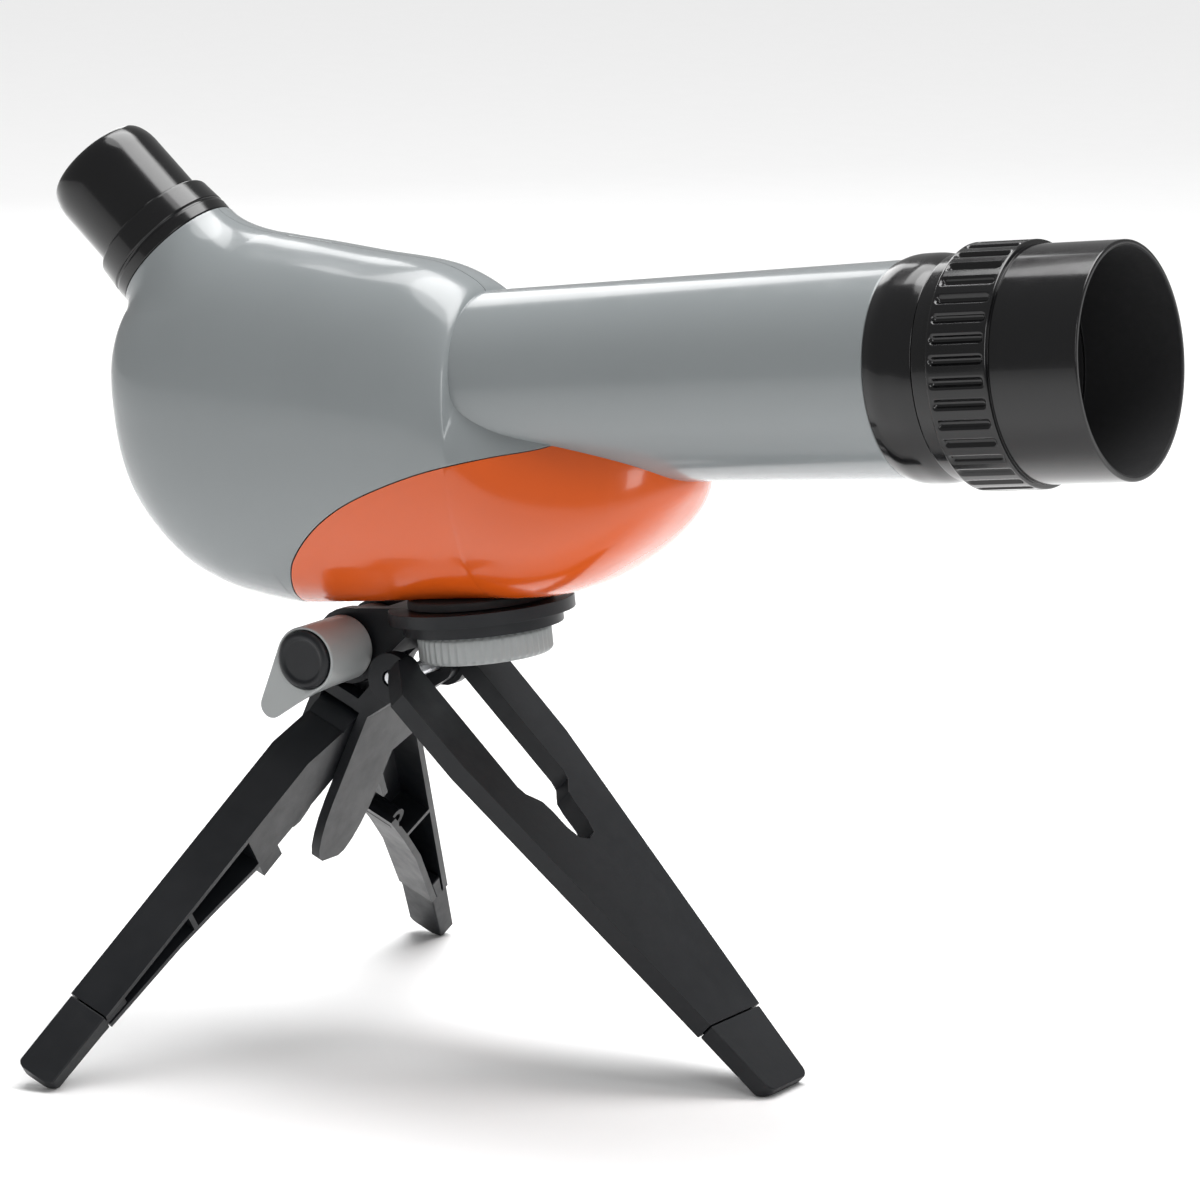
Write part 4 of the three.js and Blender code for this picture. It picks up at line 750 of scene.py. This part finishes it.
def lens_profile(back, back_edge, front, front_edge, radius):
    """Both faces of a lens: z = middle + (edge - middle) s^2 at radius s R, from one pole to the other."""
    s = np.linspace(0, 1, 24)
    near = np.stack([back + (back_edge - back) * s**2, radius * s], -1)
    far = np.stack([front + (front_edge - front) * s**2, radius * s], -1)[::-1]
    return np.concatenate([near, far])


class TELESCOPE_OT_objective(bpy.types.Operator):
    """Draw the objective's cell, its two lenses and their retaining ring"""

    bl_idname = "telescope.objective"
    bl_label = "Objective"

    def execute(self, context):
        finish = finish_set(context.scene.telescope_colours)
        cell = rounded([
            (197, 25.2, 0.3), (210.6, 25.2, 0.3), (210.6, 23.9, 0.2), (201, 23.9, 0.1), (201, 21.6, 0.2),
            (197, 21.6, 0.2)])
        ring = rounded([(208.7, 23.6, 0.1), (210.6, 23.6, 0.2), (210.6, 21.8, 0.5), (208.7, 21.8, 0.1)])
        for name, node, profile in (("lens_cell", "objective_cell", cell),
                                    ("lens_ring", "lens_retainer", ring)):
            mesh = joined_mesh(name, [(turned(profile, BARREL), True, True)])
            finished(mesh, "objective", [node], "black_plastic", [finish["inner"]])
        flint = lens_profile(201.8, 201.3, 202.9, 205.5, 23.6)
        crown = lens_profile(203.2, 205.8, 210.4, 207.8, 23.6)
        for name, node, profile in (("flint_lens", "objective_flint", flint),
                                    ("crown_lens", "objective_crown", crown)):
            mesh = joined_mesh(name, [(turned(profile, BARREL), False, True)])
            finished(mesh, "objective", [node], "optical_glass", [finish["glass"]])
        return {"FINISHED"}


class TELESCOPE_OT_eyepiece(bpy.types.Operator):
    """Draw the eyepiece: its base ring, cup, barrel and two lenses"""

    bl_idname = "telescope.eyepiece"
    bl_label = "Eyepiece"

    def execute(self, context):
        finish = finish_set(context.scene.telescope_colours)
        both = [finish["black"], finish["inner"]]
        base = rounded([
            (-9, 15.4, 0.2), (0, 15.4, 0.05), (0, 19, 0.4), (3.2, 19.1, 0.3), (3.5, 18.6, 0.15),
            (4.1, 18.6, 0.15), (4.4, 19.0, 0.3), (11.5, 18.4, 0.9), (11.5, 13.8, 0.1), (-9, 13.8, 0.1)])
        cup = rounded([
            (11.8, 13.8, 0.1), (11.8, 16.4, 0.4), (32.4, 16.4, 3), (36.7, 14.7, 2.4), (36.7, 12.2, 0.8),
            (31.7, 11, 0.4), (29.7, 11, 0.1), (29.7, 13.8, 0.1)], 9)
        barrel = rounded([
            (-14, 13.5, 0.2), (28.7, 13.5, 0.3), (28.7, 9.5, 0.3), (27.5, 9.5, 0.1), (27.5, 11.3, 0.1),
            (-14, 11.3, 0.1)])
        for name, node, slot, profile in (("eye_base_ring", "eyepiece_base", "gloss_black", base),
                                          ("eye_cup_ring", "eye_cup", "gloss_black", cup),
                                          ("eye_barrel", "eyepiece_barrel", "black_plastic", barrel)):
            mesh = joined_mesh(name, [(turned(profile, EYE, 144), True, True)])
            piece = finished(mesh, "telescope", [node], slot, both)
            darkened_inside(piece, EYE)
        for name, node, back, thick, sag in (("eye_side_lens", "eye_lens", 21.7, 5.4, 1.6),
                                             ("field_side_lens", "field_lens", -9, 4.5, 1.5)):
            profile = lens_profile(back, back + sag * 0.4, back + thick, back + thick - sag, 11)
            mesh = joined_mesh(name, [(turned(profile, EYE, 96), False, True)])
            finished(mesh, "telescope", [node], "optical_glass", [finish["glass"]])
        return {"FINISHED"}


class TELESCOPE_OT_legs(bpy.types.Operator):
    """Draw the spine, the three legs, their feet and their pins"""

    bl_idname = "telescope.legs"
    bl_label = "Spine and Legs"

    def execute(self, context):
        edge = context.scene.telescope_tripod.leg_edge
        finish = finish_set(context.scene.telescope_colours)
        softened("spine", "spine_moulding", "tripod_spine", "black_plastic", finish["satin"], edge)
        for node, name, body in (("front_leg", "front_leg_moulding", "leg_front"),
                                 ("rear_leg_right", "right_leg_moulding", "leg_right"),
                                 ("rear_leg_left", "left_leg_moulding", "leg_left")):
            softened(node, name, body, "black_plastic", finish["satin"], edge)
        for node, name, body in (("front_foot", "front_tip", "leg_front"),
                                 ("rear_foot_right", "right_tip", "leg_right"),
                                 ("rear_foot_left", "left_tip", "leg_left")):
            softened(node, name, body, "foot_plastic", finish["foot"], edge * 1.5)
        for node in ("rear_leg_pin_right", "rear_leg_pin_left", "front_leg_pin"):
            softened(node, node + "_rod", "tripod_spine", "steel", finish["steel"], 0.4, 2, 40)
        return {"FINISHED"}


class TELESCOPE_OT_head(bpy.types.Operator):
    """Draw the head plate, its rubber pad, the thumbwheel and the camera screw"""

    bl_idname = "telescope.head"
    bl_label = "Head and Thumbwheel"

    def execute(self, context):
        size = context.scene.telescope_tripod
        finish = finish_set(context.scene.telescope_colours)
        softened("head_plate", "head_moulding", "head_plate_body", "black_plastic", finish["satin"],
                 size.head_edge)
        pad = rounded([(10.2, 4.1, 0.2), (10.2, 20, 0.2), (12.5, 20, 0.7), (12.5, 4.1, 0.4)])
        mesh = joined_mesh("grip_pad", [(turned(denser(pad, 0.5, 5, 19.8), SCREW, 144), True, True)])
        finished(mesh, "head_plate_body", ["rubber_pad"], "pad_rubber", [finish["rubber"]])
        wheel = rounded([
            (-5, 5.8, 0.2), (-5, 17.2, 0.5), (-4.1, 18.4, 0.5), (1.8, 18.4, 0.5), (2.7, 17.2, 0.5),
            (2.7, 3.4, 0.1), (-1.6, 3.4, 0.1), (-1.6, 5.8, 0.1)])

        def fluted(along, radius, angle):
            """Flutes: the outer radius drops by the depth times a raised cosine round the wheel."""
            drop = (0.5 - 0.5 * np.cos(angle * size.flutes)) ** 0.7
            return radius - size.flute_depth * drop * smooth(radius, 17.4, 18.2)

        grid = turned(denser(wheel, 0.6, 17, 19), SCREW, size.flutes * 10, fluted)
        mesh = joined_mesh("clamp_wheel", [(grid, True, True)])
        finished(mesh, "screw_wheel", ["thumbwheel"], "silver_plastic", [finish["silver"]])
        screw = rounded([
            (-4.7, 0, 0), (-4.7, 5.5, 0.5), (-1.9, 5.5, 0.3), (-1.9, 3.1, 0.1), (19, 3.1, 0.6), (19, 0, 0)])
        mesh = joined_mesh("screw_rod", [(turned(screw, SCREW, 64), True, True)])
        finished(mesh, "screw_wheel", ["camera_screw"], "steel", [finish["steel"]])
        return {"FINISHED"}


def teardrop(angle, tail, big=9.0, small=3.6, apart=17.6):
    """Polar radius of a teardrop, where d is the angle off the tail: the big circle, then the line that
    touches both circles, big / cos(d - b), then the small circle,
    apart cos d + sqrt(small^2 - apart^2 sin^2 d)."""
    off = np.abs((angle - tail + pi) % (2 * pi) - pi)
    touch = np.arccos((big - small) / apart)
    meet = np.arctan2(small * np.sin(touch), apart + small * np.cos(touch))
    line = big / np.maximum(np.cos(off - touch), 0.2)
    root = np.sqrt(np.maximum(small**2 - (apart * np.sin(off)) ** 2, 0))
    tip = apart * np.cos(off) + root
    return np.where(off > touch, big, np.where(off > meet, line, tip))


class TELESCOPE_OT_clamp(bpy.types.Operator):
    """Draw the tilt clamp: the lever knob, its cap, the bolt and the washer"""

    bl_idname = "telescope.clamp"
    bl_label = "Tilt Clamp"

    def execute(self, context):
        finish = finish_set(context.scene.telescope_colours)
        inner, outer = -11.6, -32.0
        barrel = 9.0
        tail = radians(232)
        round_in = np.array([0.4, 0.22, 0.08, 0])
        round_along = np.array([0, 0.06, 0.2, 0.45])
        plain = np.linspace(outer + 0.8, inner - 0.8, 24)
        # Rows: place along the bolt, plain radius, share of the lever's outline, inset.
        rows = np.concatenate([
            [[-30.0, 3.3, 0, 0], [-30.0, 8.3, 0, 0], [-31.8, 8.3, 0, 0], [outer, 8.45, 0, 0]],
            np.stack([outer + round_along, 0 * round_in, 1 + 0 * round_in, round_in], -1),
            np.stack([plain, 0 * plain, 1 + 0 * plain, 0 * plain], -1),
            np.stack([inner - round_along, 0 * round_in, 1 + 0 * round_in, round_in], -1)[::-1],
            [[inner, 3.3, 0, 0]]])
        angle = np.linspace(0, 2 * pi, 240, endpoint=False)[None, :]
        along = rows[:, 0, None]
        grown = np.clip((inner - along) / (inner - outer), 0, 1)
        lever = barrel + (teardrop(angle, tail, barrel) - barrel) * grown - rows[:, 3, None]
        radius = np.where(rows[:, 2, None] > 0, lever, rows[:, 1, None])
        grid = np.stack([radius * np.cos(angle), along + 0 * angle, radius * np.sin(angle)], -1)
        mesh = joined_mesh("lever_knob", [(placed(grid, CLAMP), True, True)])
        finished(mesh, "clamp_knob", ["tilt_knob"], "silver_plastic", [finish["silver"]])
        cap = rounded([
            (-30.3, 0, 0), (-30.3, 8, 0.2), (-32.6, 8, 0.5), (-33.3, 7.1, 0.5), (-33.3, 6.2, 0.4),
            (-32.9, 5.6, 0.4), (-32.9, 0, 0)])
        mesh = joined_mesh("lever_knob_cap", [(turned(cap, BOLT, 96), True, True)])
        finished(mesh, "clamp_knob", ["tilt_knob_cap"], "black_plastic", [finish["satin"]])
        softened("tilt_bolt", "hinge_bolt", "tripod_spine", "steel", finish["steel"], 0.5)
        softened("tilt_washer", "hinge_washer", "tripod_spine", "steel", finish["steel"], 0.2)
        return {"FINISHED"}


class TELESCOPE_OT_inside(bpy.types.Operator):
    """Finish the pieces inside the telescope, which keep their own solids"""

    bl_idname = "telescope.inside"
    bl_label = "Inner Pieces"

    def execute(self, context):
        finish = finish_set(context.scene.telescope_colours)
        wanted = {
            "prism": "prism", "prism_holder": "inner", "light_baffle_rear": "inner",
            "light_baffle_front": "inner", "tripod_bush": "brass", "focus_pin": "steel"}
        wanted |= {"body_screw_%d" % number: "steel" for number in range(1, 5)}
        for node, kind in wanted.items():
            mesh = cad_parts[node].data
            mesh.materials.clear()
            mesh.materials.append(finish[kind])
        return {"FINISHED"}


TARGET = Vector((0.00568, 0, 0.128))  # what the camera and the lights aim at, in metres
FLOOR_HALF, FLOOR_LINES, FLOOR_DROP = 9, 13, 0.0002


class TELESCOPE_OT_stage(bpy.types.Operator):
    """Lay the pale floor, hang the soft lights and set the camera"""

    bl_idname = "telescope.stage"
    bl_label = "Stage"

    def execute(self, context):
        studio = context.scene.telescope_studio
        made, add, output = blank("pale_paper_floor")
        place = add("TexCoord").outputs["Object"]
        fibre = add("TexNoise", {"Vector": place, "Scale": 60.0, "Detail": 4.0})
        tint = add("Mix", {"Factor": fibre.outputs["Fac"]}, data_type="RGBA")
        tint.inputs[6].default_value = (0.93, 0.93, 0.93, 1)
        tint.inputs[7].default_value = (0.95, 0.95, 0.95, 1)
        shader = add("BsdfPrincipled", {"Base Color": tint.outputs[2], "Roughness": 0.85})
        shader.inputs["Specular IOR Level"].default_value = 0.2
        made.node_tree.links.new(shader.outputs[0], output.inputs[0])
        side = np.linspace(-FLOOR_HALF, FLOOR_HALF, FLOOR_LINES)
        grid = np.stack(np.broadcast_arrays(side[:, None], side[None, :], -FLOOR_DROP), -1).astype(float)
        cells = quads(FLOOR_LINES, FLOOR_LINES, False, False)[:, ::-1]
        mesh = bpy.data.meshes.new("studio_floor")
        mesh.from_pydata(grid.reshape(-1, 3).tolist(), [], cells.tolist())
        mesh.materials.append(made)
        floor = bpy.data.objects.new("studio_floor", mesh)
        context.scene.collection.objects.link(floor)

        sky = bpy.data.worlds.new("white_surroundings")
        sky.use_nodes = True
        sky.node_tree.nodes["Background"].inputs[0].default_value = (1, 1, 1, 1)
        sky.node_tree.nodes["Background"].inputs[1].default_value = studio.sky
        context.scene.world = sky
        context.scene.view_settings.view_transform = "Standard"

        for name, spot, width, height, power in (
            ("overhead_softbox", (0.1, 0.35, 1.35), 1.6, 0.7, studio.key_power),
            ("front_strip", (1.1, -1.0, 0.9), 0.5, 0.9, studio.key_power * 0.35),
            ("back_strip", (-1.0, 0.9, 0.8), 0.5, 0.9, studio.key_power * 0.3),
        ):
            lamp = bpy.data.lights.new(name, "AREA")
            lamp.shape, lamp.size, lamp.size_y, lamp.energy = "RECTANGLE", width, height, power
            light = bpy.data.objects.new(name, lamp)
            light.location = spot
            light.rotation_euler = (TARGET - Vector(spot)).to_track_quat("-Z", "Y").to_euler()
            context.scene.collection.objects.link(light)

        wash = bpy.data.lights.new("overhead_wash", "SUN")
        wash.energy, wash.angle = studio.wash, radians(50)
        light = bpy.data.objects.new("overhead_wash", wash)
        light.rotation_euler = (radians(-14), radians(6), 0)
        context.scene.collection.objects.link(light)

        lens = bpy.data.cameras.new("studio_camera")
        lens.lens, lens.sensor_width, lens.clip_end = studio.focal, 36, 60
        lens.dof.use_dof = False
        camera = bpy.data.objects.new("studio_camera", lens)
        level = Vector((sin(studio.azimuth), -cos(studio.azimuth), 0))
        away = level * cos(studio.elevation) + Vector((0, 0, sin(studio.elevation)))
        camera.location = TARGET + away * studio.distance
        camera.rotation_euler = (-away).to_track_quat("-Z", "Y").to_euler()
        context.scene.collection.objects.link(camera)
        context.scene.camera = camera
        return {"FINISHED"}


class TELESCOPE_PT_panel(bpy.types.Panel):
    """Lists the pieces' operators and their settings"""

    bl_idname = "TELESCOPE_PT_panel"
    bl_label = "Spotting Telescope"
    bl_space_type = "VIEW_3D"
    bl_region_type = "UI"
    bl_category = "Telescope"

    def draw(self, context):
        for operator in OPERATORS:
            self.layout.operator(operator.bl_idname)
        for attribute, group in SETTINGS.items():
            box = self.layout.box()
            for key in group.__annotations__:
                box.prop(getattr(context.scene, attribute), key)


SETTINGS = {
    "telescope_colours": TelescopeColours,
    "telescope_body": TelescopeBody,
    "telescope_hood": TelescopeHood,
    "telescope_tripod": TelescopeTripod,
    "telescope_studio": TelescopeStudio,
}
OPERATORS = (
    TELESCOPE_OT_body, TELESCOPE_OT_belly, TELESCOPE_OT_tube, TELESCOPE_OT_hood, TELESCOPE_OT_objective,
    TELESCOPE_OT_eyepiece, TELESCOPE_OT_legs, TELESCOPE_OT_head, TELESCOPE_OT_clamp, TELESCOPE_OT_inside,
    TELESCOPE_OT_stage,
)


def register():
    """Add the settings, the operators and the panel."""
    for attribute, group in SETTINGS.items():
        bpy.utils.register_class(group)
        setattr(bpy.types.Scene, attribute, PointerProperty(type=group))
    for cls in OPERATORS + (TELESCOPE_PT_panel,):
        bpy.utils.register_class(cls)


def unregister():
    """Take the panel, the operators and the settings away."""
    for cls in (TELESCOPE_PT_panel,) + OPERATORS[::-1]:
        bpy.utils.unregister_class(cls)
    for attribute, group in SETTINGS.items():
        delattr(bpy.types.Scene, attribute)
        bpy.utils.unregister_class(group)


def main():
    """Draw everything in order."""
    register()
    for operator in OPERATORS:
        area, name = operator.bl_idname.split(".")
        getattr(getattr(bpy.ops, area), name)()


if __name__ == "__main__":
    main()
